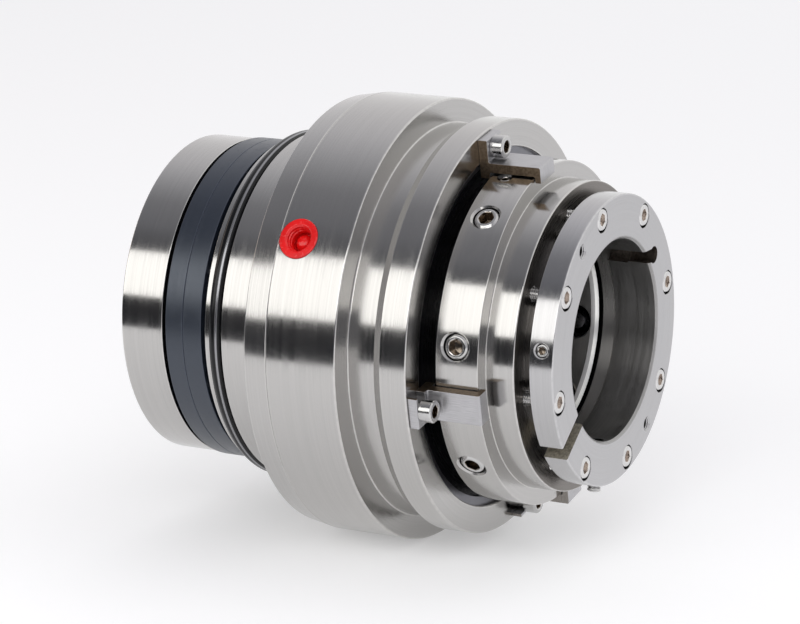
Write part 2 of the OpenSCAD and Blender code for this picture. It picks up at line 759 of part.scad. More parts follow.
// One set screw each side of the slit; the lower one stands a little proud.
module slit_screws() {
  long = ring_over - 3;
  color([0.8, 0.79, 0.77]) {
    at_angle(slit_angle - 45)
      translate([x_ring + ring_length / 2, 0, ring_r - 0.5])
        set_screw(6, long);
    at_angle(slit_angle + 45)
      translate([x_ring + ring_length / 2, 0, ring_r + 1.8])
        set_screw(6, long);
  }
}

gland_housing();
housing_o_ring();
port_plugs();
stationary_face();
stationary_o_ring();
face_springs();
anti_turn_pins();
throttle_bushing();
bushing_pin();
retaining_ring();
setting_clip(0);  // setting_clip_1
setting_clip(1);  // setting_clip_2
setting_clip(2);  // setting_clip_3
setting_clip(3);  // setting_clip_4
clip_screws();
shaft_sleeve();
face_holder();
holder_screws();
sleeve_o_ring();
holder_o_ring();
rotating_face();
rotating_o_ring();
drive_pins();
drive_collar();
set_screws();
lock_screws();
clamp_ring();
clamp_screws();
slit_screws();
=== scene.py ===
"""Looks of a cartridge mechanical seal: turned steel, dark seal faces, rubber rings, screws and clips.

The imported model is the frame. Profiles are in millimetres and meshes in metres. X is the
shaft axis, and angles are measured about it from the top towards -Y.
"""

import logging
import math
from dataclasses import dataclass, field
from enum import Enum
from typing import Optional, Sequence

import bmesh
import bpy
import numpy as np
from mathutils import Matrix, Quaternion, Vector


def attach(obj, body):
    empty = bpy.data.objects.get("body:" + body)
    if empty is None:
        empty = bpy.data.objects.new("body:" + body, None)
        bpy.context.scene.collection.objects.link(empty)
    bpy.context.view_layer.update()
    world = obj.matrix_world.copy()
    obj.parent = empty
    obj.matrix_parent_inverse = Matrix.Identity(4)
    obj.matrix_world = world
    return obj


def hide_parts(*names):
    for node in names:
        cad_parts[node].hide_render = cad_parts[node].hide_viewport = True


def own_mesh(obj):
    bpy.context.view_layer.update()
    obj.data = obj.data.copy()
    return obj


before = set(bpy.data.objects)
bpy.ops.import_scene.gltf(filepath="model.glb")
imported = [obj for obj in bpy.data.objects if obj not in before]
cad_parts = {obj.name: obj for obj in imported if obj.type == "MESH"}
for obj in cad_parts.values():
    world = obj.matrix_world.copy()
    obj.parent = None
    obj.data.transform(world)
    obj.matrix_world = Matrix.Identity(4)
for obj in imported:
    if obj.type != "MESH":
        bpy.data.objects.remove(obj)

MM = 0.001
STEPS = 240
LAYER = "Turned"
NEAR, TOUCH, SAME_WAY = 0.05, 0.02, 0.7
Array = np.ndarray
Pair, Triple = tuple[float, float], tuple[float, float, float]
Material, Mesh, Node, Socket = bpy.types.Material, bpy.types.Mesh, bpy.types.Node, bpy.types.NodeSocket
Sockets = bpy.types.NodeOutputs
Look = tuple[dict, Socket, float]
log = logging.getLogger("seal")


class Body(Enum):
    """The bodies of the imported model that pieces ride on."""

    HOUSING = "housing"
    STANDING_FACE = "standing_face"
    ROTOR = "rotor"


@dataclass(frozen=True)
class Placement:
    """Where a local frame lies: its Z is the axis a piece is turned about."""

    matrix: tuple[tuple[float, ...], ...]

    @staticmethod
    def of(
        origin: Sequence[float], along: Sequence[float], across: Sequence[float], spin: float = 0.0
    ) -> "Placement":
        """Builds a placement.

        Args:
            origin: the local origin, in millimetres.
            along: the direction of local Z.
            across: a direction that local X leans to.
            spin: turn about local Z, in degrees.

        Returns:
            The placement, with local X, Y and Z as the columns of its matrix.
        """
        z = np.array(along, float) / np.linalg.norm(along)
        x = np.array(across, float) - np.dot(across, z) * z
        x /= np.linalg.norm(x)
        y = np.cross(z, x)
        c, s = math.cos(math.radians(spin)), math.sin(math.radians(spin))
        cols = np.stack([c * x + s * y, c * y - s * x, z, np.array(origin, float)], 1)
        return Placement(tuple(map(tuple, cols)))

    @staticmethod
    def shaft() -> "Placement":
        """The shaft axis: local X is the top, and angles grow towards -Y."""
        return Placement.of((0, 0, 0), (1, 0, 0), (0, 0, 1))

    @staticmethod
    def up(angle: float) -> Triple:
        """The direction away from the shaft at an angle in degrees."""
        a = math.radians(angle)
        return 0.0, -math.sin(a), math.cos(a)

    @staticmethod
    def axial(x: float, radius: float, angle: float, spin: float = 0.0, outwards: int = 1) -> "Placement":
        """A drilling along the shaft; outwards -1 faces the process side."""
        up = Placement.up(angle)
        return Placement.of((x, radius * up[1], radius * up[2]), (outwards, 0, 0), up, spin)

    @staticmethod
    def radial(x: float, radius: float, angle: float, spin: float = 0.0) -> "Placement":
        """A drilling towards the shaft, with local Z pointing away from it."""
        up = Placement.up(angle)
        return Placement.of((x, radius * up[1], radius * up[2]), up, (1, 0, 0), spin)

    def moved(self, by: Sequence[float]) -> "Placement":
        """The same placement, its origin moved by millimetres in the frame."""
        return Placement(tuple((*row[:3], row[3] + step) for row, step in zip(self.matrix, by)))

    def points(self, local: Array) -> Array:
        """Carries local points in millimetres to the frame."""
        m = np.array(self.matrix)
        return local @ m[:, :3].T + m[:, 3]

    def directions(self, local: Array) -> Array:
        """Turns local directions into the frame."""
        return local @ np.array(self.matrix)[:, :3].T

    def inverse(self, points: Array) -> Array:
        """Carries frame points in millimetres to the local frame."""
        m = np.array(self.matrix)
        return (points - m[:, 3]) @ m[:, :3]


class Profile:
    """Outline in the plane of an axis, as (place, radius) corners that are each rounded.

    At a corner the normal turns evenly from one side's to the next side's, and the point runs on
    a circle whose centre is the corner moved along the middle normal by radius / cos(half turn).
    A support point lies on each side of the round, so that the wear mask is 1 on it and 0 beyond.
    """

    def __init__(
        self, corners: Sequence[Sequence[float]], closed: bool = True, soft: float = 0.12, arc: int = 4,
        reach: float = 0.3,
    ) -> None:
        """Works out the points.

        Args:
            corners: (place, radius) or (place, radius, round) in millimetres.
            closed: whether the outline closes on itself; an open one starts and ends on the axis.
            soft: the round of a corner that names none.
            arc: steps in each round.
            reach: how far the wear mask reaches past a round.
        """
        table = np.array([(tuple(c) + (soft,))[:3] for c in corners], float)
        p, size = table[:, :2], table[:, 2].copy()
        nxt = np.roll(p, -1, 0)
        way = nxt - p
        area = 0.5 * np.sum(p[:, 0] * nxt[:, 1] - nxt[:, 0] * p[:, 1])
        side = 1.0 if area > 0 else -1.0
        length = np.linalg.norm(way, axis=1)
        unit = way / np.maximum(length, 1e-9)[:, None]
        out = side * np.stack([unit[:, 1], -unit[:, 0]], 1)
        before, after = np.roll(out, 1, 0), out.copy()
        if not closed:
            before[0], after[-1] = after[0], before[-1]
            size[[0, -1]] = 0.0
        turn = np.arctan2(before[:, 0] * after[:, 1] - before[:, 1] * after[:, 0], (before * after).sum(1))
        half = np.tan(np.abs(turn) / 2)
        room = 0.45 * np.minimum(np.roll(length, 1), length)
        size = np.minimum(size, room / np.maximum(half, 1e-6))
        bend = side * np.sign(turn)
        middle = before + after
        middle /= np.maximum(np.linalg.norm(middle, axis=1), 1e-9)[:, None]
        centre = p - (bend * size / np.maximum(np.cos(turn / 2), 1e-6))[:, None] * middle
        u = np.linspace(0, 1, arc + 1)
        start = np.arctan2(before[:, 1], before[:, 0])
        angle = start[:, None] + turn[:, None] * u
        normal = np.stack([np.cos(angle), np.sin(angle)], -1)
        points = centre[:, None] + (bend * size)[:, None, None] * normal
        tangent = size * half
        left = np.maximum(np.roll(length, 1) - tangent - np.roll(tangent, 1), 0)
        right = np.maximum(length - tangent - np.roll(tangent, -1), 0)
        back = points[:, 0] - np.roll(unit, 1, 0) * np.minimum(reach, 0.3 * left)[:, None]
        ahead = points[:, -1] + unit * np.minimum(reach, 0.3 * right)[:, None]
        if not closed:
            back[0], ahead[-1] = points[0, 0], points[-1, -1]
        points = np.concatenate([back[:, None], points, ahead[:, None]], 1).reshape(-1, 2)
        normal = np.concatenate([before[:, None], normal, after[:, None]], 1).reshape(-1, 2)
        wear = np.tile(np.r_[0.0, np.ones(arc + 1), 0.0], len(p))
        keep = np.r_[True, np.linalg.norm(np.diff(points, axis=0), axis=1) > 1e-6]
        self.xy, self.normal, self.wear, self.closed = points[keep], normal[keep], wear[keep], closed
        step = np.linalg.norm(np.diff(self.xy, axis=0, append=self.xy[:1]), axis=1)
        self.travel = np.r_[0.0, np.cumsum(step)]

    @staticmethod
    def circle(
        place: float, radius: float, size: float, steps: int = 28, line: Optional[float] = None
    ) -> "Profile":
        """Profile of a round cord: a circle of that diameter about (place, radius).

        Args:
            place: its centre along the axis.
            radius: its centre's distance from the axis.
            size: the cord's diameter.
            steps: points round the circle.
            line: angle from the axis, in degrees, of a narrow line that the wear mask marks, where the rubber
                finish paints a highlight.

        Returns:
            The profile.
        """
        made = Profile.__new__(Profile)
        a = np.arange(steps) * 2 * np.pi / steps
        made.normal = np.stack([np.cos(a), np.sin(a)], 1)
        made.xy = np.array([place, radius]) + size / 2 * made.normal
        made.wear, made.closed = np.zeros(steps), True
        if line is not None:
            away = np.abs((np.degrees(a) - line + 180) % 360 - 180)
            made.wear = np.clip(1.7 - away / 6.0, 0, 1)
        made.travel = np.arange(steps + 1) * size * math.sin(math.pi / steps)
        return made

    def normal_at(self, flat: Array) -> tuple[Array, Array]:
        """Finds the outline's normal at the point nearest to each given one.

        Args:
            flat: (n, 2) places and radii in millimetres.

        Returns:
            The normals blended along the nearest side, and the distances to it.
        """
        a, na = self.xy, self.normal
        b, nb = np.roll(a, -1, 0), np.roll(na, -1, 0)
        if not self.closed:
            a, b, na, nb = a[:-1], b[:-1], na[:-1], nb[:-1]
        d = b - a
        square = np.maximum((d * d).sum(1), 1e-12)
        normals, gaps = np.zeros_like(flat), np.zeros(len(flat))
        for k in range(0, len(flat), 20000):
            part = flat[k : k + 20000, None] - a
            t = np.clip((part * d).sum(-1) / square, 0, 1)
            gap = np.linalg.norm(part - t[..., None] * d, axis=-1)
            best = gap.argmin(1)
            row = np.arange(len(best))
            w = t[row, best][:, None]
            normals[k : k + 20000] = (1 - w) * na[best] + w * nb[best]
            gaps[k : k + 20000] = gap[row, best]
        return normals / np.linalg.norm(normals, axis=1)[:, None], gaps


@dataclass
class Skin:
    """Points in metres, faces, corner normals, and corner (travel, wear); a triangle's last column is -1."""

    points: Array
    faces: Array
    normals: Optional[Array]
    turned: Array

    @staticmethod
    def joined(skins: Sequence["Skin"]) -> "Skin":
        """Puts several skins into one.

        Args:
            skins: the skins, whose normals are kept only if all have them.

        Returns:
            The whole skin.
        """
        offset = np.cumsum([0] + [len(s.points) for s in skins])
        faces = np.concatenate([np.where(s.faces < 0, -1, s.faces + o) for s, o in zip(skins, offset)])
        flat = any(s.normals is None for s in skins)
        normals = None if flat else np.concatenate([s.normals for s in skins])
        points, turned = np.concatenate([s.points for s in skins]), np.concatenate([s.turned for s in skins])
        return Skin(points, faces, normals, turned)

    @staticmethod
    def grid(
        points: Array, closed: bool, travel: Array, wear: Array, normals: Optional[Array] = None
    ) -> "Skin":
        """Joins a grid of points into faces; its columns always close on themselves.

        Args:
            points: (rows, columns, 3) in metres. A row whose points all lie together becomes one point.
            closed: whether the last row joins the first.
            travel: (rows + 1) length along the profile, in millimetres.
            wear: (rows) wear mask.
            normals: (rows, columns, 3) or None.

        Returns:
            The skin, turned the right way out by the sign of its volume.
        """
        rows, columns = points.shape[:2]
        index = np.arange(rows * columns).reshape(rows, columns)
        pole = np.ptp(points, axis=1).max(1) < 1e-8
        index[pole] = index[pole][:, :1]
        top = index if closed else index[:-1]
        low = np.roll(index, -1, 0) if closed else index[1:]
        quads = np.stack([top, low, np.roll(low, -1, 1), np.roll(top, -1, 1)], -1)
        count = len(quads)
        pole_low = np.roll(pole, -1)[:count]
        quads[pole[:count], :, 3] = -1
        quads[pole_low, :, 2] = quads[pole_low, :, 3]
        quads[pole_low, :, 3] = -1
        row = np.arange(count)
        s = np.stack([travel[row], travel[row + 1]], 1)[:, [0, 1, 1, 0]]
        w = np.stack([wear[row], np.roll(wear, -1)[row]], 1)[:, [0, 1, 1, 0]]
        pairs = np.stack([s, w], -1)[:, None]
        turned = np.broadcast_to(pairs, (count, columns, 4, 2)).reshape(-1, 4, 2).copy()
        faces = quads.reshape(-1, 4)
        flat = points.reshape(-1, 3)
        corner = None if normals is None else normals.reshape(-1, 3)[np.maximum(faces, 0)]
        first, second, third, last = (flat[np.maximum(faces[:, i], 0)] for i in range(4))
        square = faces[:, 3] >= 0
        volume = np.einsum("ij,ij->i", first, np.cross(second, third)).sum()
        volume += np.einsum("ij,ij->i", first, np.cross(third, last))[square].sum()
        if volume < 0:
            order = np.where(square[:, None], [3, 2, 1, 0], [2, 1, 0, 3])
            faces = np.take_along_axis(faces, order, 1)
            turned = np.take_along_axis(turned, order[..., None], 1)
            corner = None if corner is None else np.take_along_axis(corner, order[..., None], 1)
        return Skin(flat.copy(), faces, corner, turned)

    def mesh(self, name: str) -> Mesh:
        """Puts the arrays into a Blender mesh.

        Args:
            name: the mesh's name.

        Returns:
            The mesh, smooth, with its normals set, or with edges over 30 degrees left sharp.
        """
        used = self.faces >= 0
        loops = self.faces[used]
        total = used.sum(1)
        mesh = bpy.data.meshes.new(name)
        mesh.vertices.add(len(self.points))
        mesh.vertices.foreach_set("co", self.points.astype(np.float32).ravel())
        mesh.loops.add(len(loops))
        mesh.loops.foreach_set("vertex_index", loops.astype(np.int32))
        mesh.polygons.add(len(total))
        mesh.polygons.foreach_set("loop_start", np.r_[0, np.cumsum(total)[:-1]].astype(np.int32))
        mesh.update(calc_edges=True)
        set_layer(mesh, self.turned[used])
        if self.normals is None:
            mesh.set_sharp_from_angle(angle=math.radians(30))
        else:
            mesh.normals_split_custom_set(self.normals[used].tolist())
        clean_loose(mesh)
        return mesh


def read(items: bpy.types.bpy_prop_collection, name: str, width: int = 1) -> Array:
    """Reads a whole number, or a row of numbers, from every vertex, loop or face.

    Args:
        items: the mesh's vertices, loops or polygons.
        name: the property.
        width: how many numbers each row has.

    Returns:
        The whole numbers, or the rows.
    """
    values = np.zeros(len(items) * width, np.int32 if width == 1 else np.float32)
    items.foreach_get(name, values)
    return values if width == 1 else values.reshape(-1, width).astype(float)


def set_layer(mesh: Mesh, turned: Array) -> None:
    """Gives a mesh its texture layer and makes every face smooth.

    Args:
        mesh: the mesh.
        turned: (travel, wear) of every corner.
    """
    layer = mesh.uv_layers.new(name=LAYER)
    layer.data.foreach_set("uv", turned.astype(np.float32).ravel())
    mesh.polygons.foreach_set("use_smooth", np.ones(len(mesh.polygons), bool))


def clean_loose(mesh: Mesh) -> None:
    """Drops the points that no face uses.

    Args:
        mesh: the mesh, where a pole leaves such points behind.
    """
    used = np.zeros(len(mesh.vertices), bool)
    used[read(mesh.loops, "vertex_index")] = True
    if used.all():
        return
    work = bmesh.new()
    work.from_mesh(mesh)
    work.verts.ensure_lookup_table()
    bmesh.ops.delete(work, geom=[work.verts[i] for i in np.nonzero(~used)[0]], context="VERTS")
    work.to_mesh(mesh)
    work.free()


def put(name: str, data: bpy.types.ID) -> bpy.types.Object:
    """Adds an object to the scene.

    Args:
        name: its name.
        data: its mesh, lamp or camera.

    Returns:
        The object.
    """
    item = bpy.data.objects.new(name, data)
    bpy.context.scene.collection.objects.link(item)
    return item


@dataclass
class Turning:
    """A profile carried round a placement's Z: (r cos a, r sin a, z) for every profile point and angle."""

    profile: Profile
    place: Placement = field(default_factory=Placement.shaft)
    steps: int = STEPS

    def skin(self) -> Skin:
        """Works out the surface.

        Returns:
            The skin, with the profile's normals turned the same way.
        """
        a = np.arange(self.steps) * 2 * np.pi / self.steps
        z, r = self.profile.xy[:, :1], self.profile.xy[:, 1:]
        nz, nr = self.profile.normal[:, :1], self.profile.normal[:, 1:]
        local = np.stack(np.broadcast_arrays(r * np.cos(a), r * np.sin(a), z), -1)
        facing = np.stack(np.broadcast_arrays(nr * np.cos(a), nr * np.sin(a), nz), -1)
        points, normals = self.place.points(local) * MM, self.place.directions(facing)
        return Skin.grid(points, self.profile.closed, self.profile.travel, self.profile.wear, normals)

    def normals_at(self, points: Array) -> tuple[Array, Array]:
        """Finds the surface's normals.

        Args:
            points: points in the frame, in millimetres.

        Returns:
            The exact normals, and how far each point lies from the surface.
        """
        local = self.place.inverse(points)
        r = np.linalg.norm(local[:, :2], axis=1)
        flat, gap = self.profile.normal_at(np.stack([local[:, 2], r], 1))
        turn = local[:, :2] / np.maximum(r, 1e-9)[:, None]
        out = np.concatenate([flat[:, 1:] * turn, flat[:, :1]], 1)
        return self.place.directions(out), gap


@dataclass
class Prism:
    """A flat outline in local X and Y carried along local Z between two places, in millimetres."""

    outline: Array
    low: float
    high: float
    place: Placement

    def mesh(self, name: str) -> Mesh:
        """Builds the prism: a wall of one face per outline side, and two flat ends.

        Args:
            name: the mesh's name.

        Returns:
            The mesh, with (travel, 0) on the wall and (X, 0) on the ends.
        """
        n = len(self.outline)
        ends = [np.c_[self.outline, np.full(n, z)] for z in (self.low, self.high)]
        points = self.place.points(np.concatenate(ends)) * MM
        x, y = self.outline.T
        area = np.sum(x * np.roll(y, -1) - np.roll(x, -1) * y)
        i = np.arange(n)
        j = np.roll(i, -1)
        wall = np.stack([i, j, j + n, i + n], 1)
        faces = wall.tolist() + [i[::-1].tolist(), (i + n).tolist()]
        mesh = bpy.data.meshes.new(name)
        mesh.from_pydata(points.tolist(), [], faces if area > 0 else [f[::-1] for f in faces])
        step = np.linalg.norm(self.outline - self.outline[j], axis=1)
        travel = np.r_[0.0, np.cumsum(step)]
        one = np.stack([travel[:-1], travel[1:], travel[1:], travel[:-1]], 1)
        across = np.tile([self.low, self.low, self.high, self.high], (n, 1))
        if area < 0:
            one, across = one[:, ::-1], across[:, ::-1]
        flat = self.outline if area > 0 else self.outline[::-1]
        tops = [np.c_[flat[::-1, 0], np.full(n, 50.0)], np.c_[flat[:, 0], np.full(n, 50.0)]]
        values = np.concatenate([np.stack([one, across], -1).reshape(-1, 2)] + tops)
        set_layer(mesh, values)
        mesh.set_sharp_from_angle(angle=math.radians(30))
        return mesh


def show(
    name: str, mesh: Mesh, body: Body, slot: str, nodes: Sequence[str], *materials: Material
) -> bpy.types.Object:
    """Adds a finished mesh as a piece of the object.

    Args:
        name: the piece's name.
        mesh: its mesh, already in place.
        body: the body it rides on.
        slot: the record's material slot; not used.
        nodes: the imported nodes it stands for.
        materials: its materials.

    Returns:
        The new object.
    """
    piece = put(name, mesh)
    for material in materials:
        mesh.materials.append(material)
    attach(piece, body.value)
    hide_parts(*nodes)
    log.info("%s: %d faces", name, len(mesh.polygons))
    return piece


def dress(node: str, material: Material) -> None:
    """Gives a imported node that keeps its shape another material.

    Args:
        node: the node's name.
        material: its material.
    """
    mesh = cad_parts[node].data
    mesh.materials.clear()
    mesh.materials.append(material)


def dress_faces(
    mesh: Mesh, index: int, radius: Pair, reach: Pair = (-500.0, 500.0),
    above: float = -500.0, old: int = 0,
) -> None:
    """Gives the faces whose middles lie between two radii and two places along the shaft another material.

    Args:
        mesh: the mesh, whose other faces keep theirs.
        index: the material's number on the mesh.
        radius: least and greatest distance from the shaft axis, in millimetres.
        reach: least and greatest place along it, in millimetres.
        above: least height over the axis, in millimetres.
        old: the number of the material that is replaced.
    """
    middle = read(mesh.polygons, "center", 3) / MM
    now = read(mesh.polygons, "material_index")
    away = np.hypot(middle[:, 1], middle[:, 2])
    near = (away > radius[0]) & (away < radius[1]) & (middle[:, 2] > above)
    near &= (middle[:, 0] > reach[0]) & (middle[:, 0] < reach[1])
    now[near & (now == old)] = index
    mesh.polygons.foreach_set("material_index", now)


def difference(base: bpy.types.Object, cutters: Sequence[Mesh]) -> Mesh:
    """Takes meshes away from an object.

    Args:
        base: the object, whose own mesh stays as it is.
        cutters: the meshes to take away, which are removed afterwards.

    Returns:
        The cut mesh.
    """
    for cutter in cutters:
        step = base.modifiers.new("hole", "BOOLEAN")
        step.operation, step.solver, step.object = "DIFFERENCE", "EXACT", put("cutter", cutter)
    graph = bpy.context.evaluated_depsgraph_get()
    mesh = bpy.data.meshes.new_from_object(base.evaluated_get(graph))
    base.modifiers.clear()
    for cutter in cutters:
        bpy.data.meshes.remove(cutter)
    return mesh


def exact_normals(mesh: Mesh, body: Turning, tools: Sequence[Turning]) -> tuple[Array, Array]:
    """Finds the normal of every corner of a cut piece.

    A corner takes the normal of the turned surface if it lies on it and its face looks the same
    way, else the reversed normal of the tool it lies on, else its face's own normal.

    Args:
        mesh: the cut mesh.
        body: the turned piece.
        tools: turned cutters.

    Returns:
        The normals, and which corners lie on no turned surface.
    """
    points = read(mesh.vertices, "co", 3) / MM
    loops = read(mesh.loops, "vertex_index")
    face = np.repeat(read(mesh.polygons, "normal", 3), read(mesh.polygons, "loop_total"), 0)
    result, free = face.copy(), np.ones(len(loops), bool)
    for turning, sign in [(body, 1.0)] + [(t, -1.0) for t in tools]:
        where = np.nonzero(free)[0]
        if turning is not body:
            near = turning.place.inverse(points[loops[where]])
            low, high = turning.profile.xy.min(0) - NEAR, turning.profile.xy.max(0) + NEAR
            inside = (near[:, 2] > low[0]) & (near[:, 2] < high[0])
            where = where[inside & (np.hypot(near[:, 0], near[:, 1]) < high[1])]
        if not len(where):
            continue
        unique, back = np.unique(loops[where], return_inverse=True)
        normals, gap = turning.normals_at(points[unique])
        normals, gap = sign * normals[back.ravel()], gap[back.ravel()]
        good = (gap < TOUCH) & ((normals * face[where]).sum(1) > SAME_WAY)
        result[where[good]] = normals[good]
        free[where[good]] = False
    return result, free


def cut(body: Turning, tools: Sequence[Turning], prisms: Sequence[Prism] = ()) -> Mesh:
    """Cuts holes into a turned piece and gives every corner its exact normal again.

    Args:
        body: the turned piece.
        tools: turned cutters.
        prisms: flat-sided cutters; a face that only they made takes the second material.

    Returns:
        The cut mesh.
    """
    base = put("uncut", body.skin().mesh("uncut"))
    cutters = [Skin.joined([t.skin() for t in tools]).mesh("cutter")]
    mesh = difference(base, cutters + [p.mesh("cutter") for p in prisms])
    bpy.data.meshes.remove(base.data)
    normals, free = exact_normals(mesh, body, tools)
    mesh.polygons.foreach_set("use_smooth", np.ones(len(mesh.polygons), bool))
    if prisms:
        total = read(mesh.polygons, "loop_total")
        flat = np.add.reduceat(free.astype(np.int32), np.r_[0, np.cumsum(total)[:-1]]) == total
        mesh.polygons.foreach_set("material_index", flat.astype(np.int32))
    mesh.normals_split_custom_set(normals.tolist())
    return mesh


def hole(place: Placement, rows: Sequence[Sequence[float]], steps: int = 64) -> Turning:
    """A cutter for a round hole: (place along local Z, radius) corners from its floor to beyond its mouth."""
    return Turning(Profile(rows, closed=False, soft=0.03, arc=1, reach=0.05), place, steps)


def show_turned(
    name: str, profile: Profile, body: Body, slot: str, node: str, material: Material, steps: int = STEPS
) -> None:
    """Adds a piece that is only turned about the shaft; the rest is as show() takes it."""
    mesh = Turning(profile, steps=steps).skin().mesh(name)
    show(name, mesh, body, slot, [node], material)


@dataclass(frozen=True)
class Screw:
    """A hexagon socket screw standing on local Z, its top at zero, in millimetres."""

    size: float
    length: float
    head: float = 0.0
    head_height: float = 0.0
    key: float = 3.0
    key_depth: float = 3.0
    thread: Pair = (0.0, 0.0)
    pitch: float = 1.0
    crown: float = 0.5
    cup: bool = False
    tip: float = 7.8
    steps: int = 48

    @property
    def under(self) -> float:
        """Where the shank starts: under the head, or under the crown of a screw without one."""
        return -self.head_height if self.head else -self.crown

    def top(self) -> Array:
        """Works out the outline from the socket's floor to the shank.

        Returns:
            Rows of place, radius, 1 for a hexagon or 0 for a circle, and mask.
        """
        corner, floor = self.key / 2 / math.cos(math.pi / 6), -self.key_depth
        c, under, big = self.crown, self.under, (self.head or self.size) / 2
        rows = [(floor - self.key * 0.12, 0, 0, 2), (floor, corner, 1, 2), (-0.35, corner, 1, 2)]
        rows += [(-0.02, corner + 0.12, 0, 1), (0, corner + 0.2, 0, 1)]
        rows += [(0, big - c, 0, 0), (-0.05, big - c + 0.1, 0, 1), (-c, big, 0, 1)]
        if self.head:
            rows += [(under + 0.25, big, 0, 0), (under, big - 0.25, 0, 1), (under, self.size / 2, 0, 0)]
        return np.array(rows)

    def end(self) -> Array:
        """Works out the outline of the tip.

        Returns:
            Rows like the top's.
        """
        size, length, r = self.size, self.length, self.size / 2
        if self.cup:
            rows = [
                (self.tip - length + 0.1, r, 0, 0), (self.tip - length, r, 0, 3),
                (size * 0.2 - length, r, 0, 3),
            ]
            rows += [(-length, size * 0.3, 0, 3), (size * 0.1 - length, 0, 0, 3)]
            return np.array(rows)
        full = self.under - length
        return np.array([(full + size * 0.08, r, 0, 0), (full, r - size * 0.08, 0, 1), (full, 0, 0, 0)])

    def local(self) -> tuple[Array, Array]:
        """Works out the screw as a grid of rows along its outline and columns round it.

        A row's radius is a circle's, or a hexagon's: corner radius * cos 30 / cos(angle from the
        nearest flat's middle). The thread's radius falls from the crest by a clipped triangle wave
        of (place / pitch - turn), which makes the ridge climb as a helix.

        Returns:
            The (rows, columns, 3) points in millimetres and each row's mask: up to 1 for a worn
            edge, 2 in the socket and 3 on the tip of a set screw.
        """
        a = np.arange(self.steps) * 2 * np.pi / self.steps
        hexagon = math.cos(math.pi / 6) / np.cos(a % (math.pi / 3) - math.pi / 6)
        top, end, flat = self.top(), self.end(), 0 * a
        z, wear = [top[:, :1] + flat], [top[:, 3]]
        rad = [top[:, 1:2] * np.where(top[:, 2:3] > 0, hexagon, 1.0)]
        high, low = self.thread
        if high != low:
            zt = np.arange(high, low, -self.pitch / 8)[:, None] + flat
            wave = np.abs(2 * ((zt / self.pitch - a / (2 * np.pi)) % 1) - 1)
            depth = 0.6 * self.pitch * np.clip((wave - 0.12) / 0.76, 0, 1)
            fade = np.clip(np.minimum(high - zt, zt - low) / self.pitch, 0, 1)
            z.append(zt)
            rad.append(self.size / 2 - depth * fade)
            wear.append(0.3 + 0 * zt[:, 0])
        z, rad = np.concatenate(z + [end[:, :1] + flat]), np.concatenate(rad + [end[:, 1:2] + flat])
        return np.stack([rad * np.cos(a), rad * np.sin(a), z], -1), np.concatenate(wear + [end[:, 3]])

    def fit(
        self, name: str, places: Sequence[Placement], node: str, material: Material, body: Body = Body.ROTOR
    ) -> None:
        """Adds the screw at each of the places as one piece.

        Args:
            name: the piece's name.
            places: where the screws stand.
            node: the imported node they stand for.
            material: their material.
            body: the body they ride on.
        """
        local, wear = self.local()
        travel = np.r_[0, np.cumsum(np.linalg.norm(np.diff(local[:, 0], axis=0), axis=1)), 0]
        skins = [Skin.grid(p.points(local) * MM, False, travel, wear) for p in places]
        show(name, Skin.joined(skins).mesh("screws"), body, "screw_steel", [node], material)


def spins(count: int, seed: int) -> Array:
    """How far each screw happens to be turned, in degrees."""
    return np.random.default_rng(seed).uniform(0, 60, count)


class Group(Enum):
    """The shared effects."""

    LATHE_LINES = "lathe lines"
    WORN_EDGE = "worn edge"
    HANDLING = "handling marks"


class Tree:
    """Adds and links the nodes of one shader tree."""

    def __init__(self, tree: bpy.types.NodeTree) -> None:
        """Keeps the tree."""
        self.tree = tree

    def feed(self, node: Node, inputs: dict) -> Node:
        """Links or sets a node's inputs.

        Args:
            node: the node.
            inputs: sockets or values, by the input's name or number.

        Returns:
            The same node.
        """
        for key, value in inputs.items():
            socket = node.inputs[key]
            if isinstance(value, Socket):
                self.tree.links.new(value, socket)
            elif socket.type == "RGBA" and len(value) == 3:
                socket.default_value = (*value, 1.0)
            else:
                socket.default_value = value
        return node

    def add(self, kind: str, inputs: Optional[dict] = None, **settings: object) -> Node:
        """Adds a node.

        Args:
            kind: the node's type.
            inputs: values or sockets for its inputs, by name or number.
            settings: the node's own properties.

        Returns:
            The node.
        """
        node = self.tree.nodes.new(kind)
        for key, value in settings.items():
            setattr(node, key, value)
        return self.feed(node, inputs or {})

    def math(self, operation: str, *values: object, clamp: bool = False) -> Socket:
        """A Math node of that operation on sockets or numbers."""
        inputs = dict(enumerate(values))
        return self.add("ShaderNodeMath", inputs, operation=operation, use_clamp=clamp).outputs[0]

    def remap(self, value: object, low: float, high: float, to_low: float = 0.0) -> Socket:
        """Maps a value smoothly from one range to another that ends at 1, clamped."""
        inputs = {0: value, 1: low, 2: high, 3: to_low, 4: 1.0}
        return self.add("ShaderNodeMapRange", inputs, interpolation_type="SMOOTHSTEP").outputs[0]

    def blend(self, share: object, a: object, b: object) -> Socket:
        """Mixes two colours by a share."""
        return self.add("ShaderNodeMix", {0: share, 6: a, 7: b}, data_type="RGBA").outputs[2]

    def noise(
        self, vector: object, scale: object, detail: float, rough: float = 0.5, swirl: float = 0.0
    ) -> Socket:
        """A noise value at a vector."""
        inputs = {"Vector": vector, "Scale": scale, "Detail": detail, "Roughness": rough, "Distortion": swirl}
        return self.add("ShaderNodeTexNoise", inputs).outputs[0]


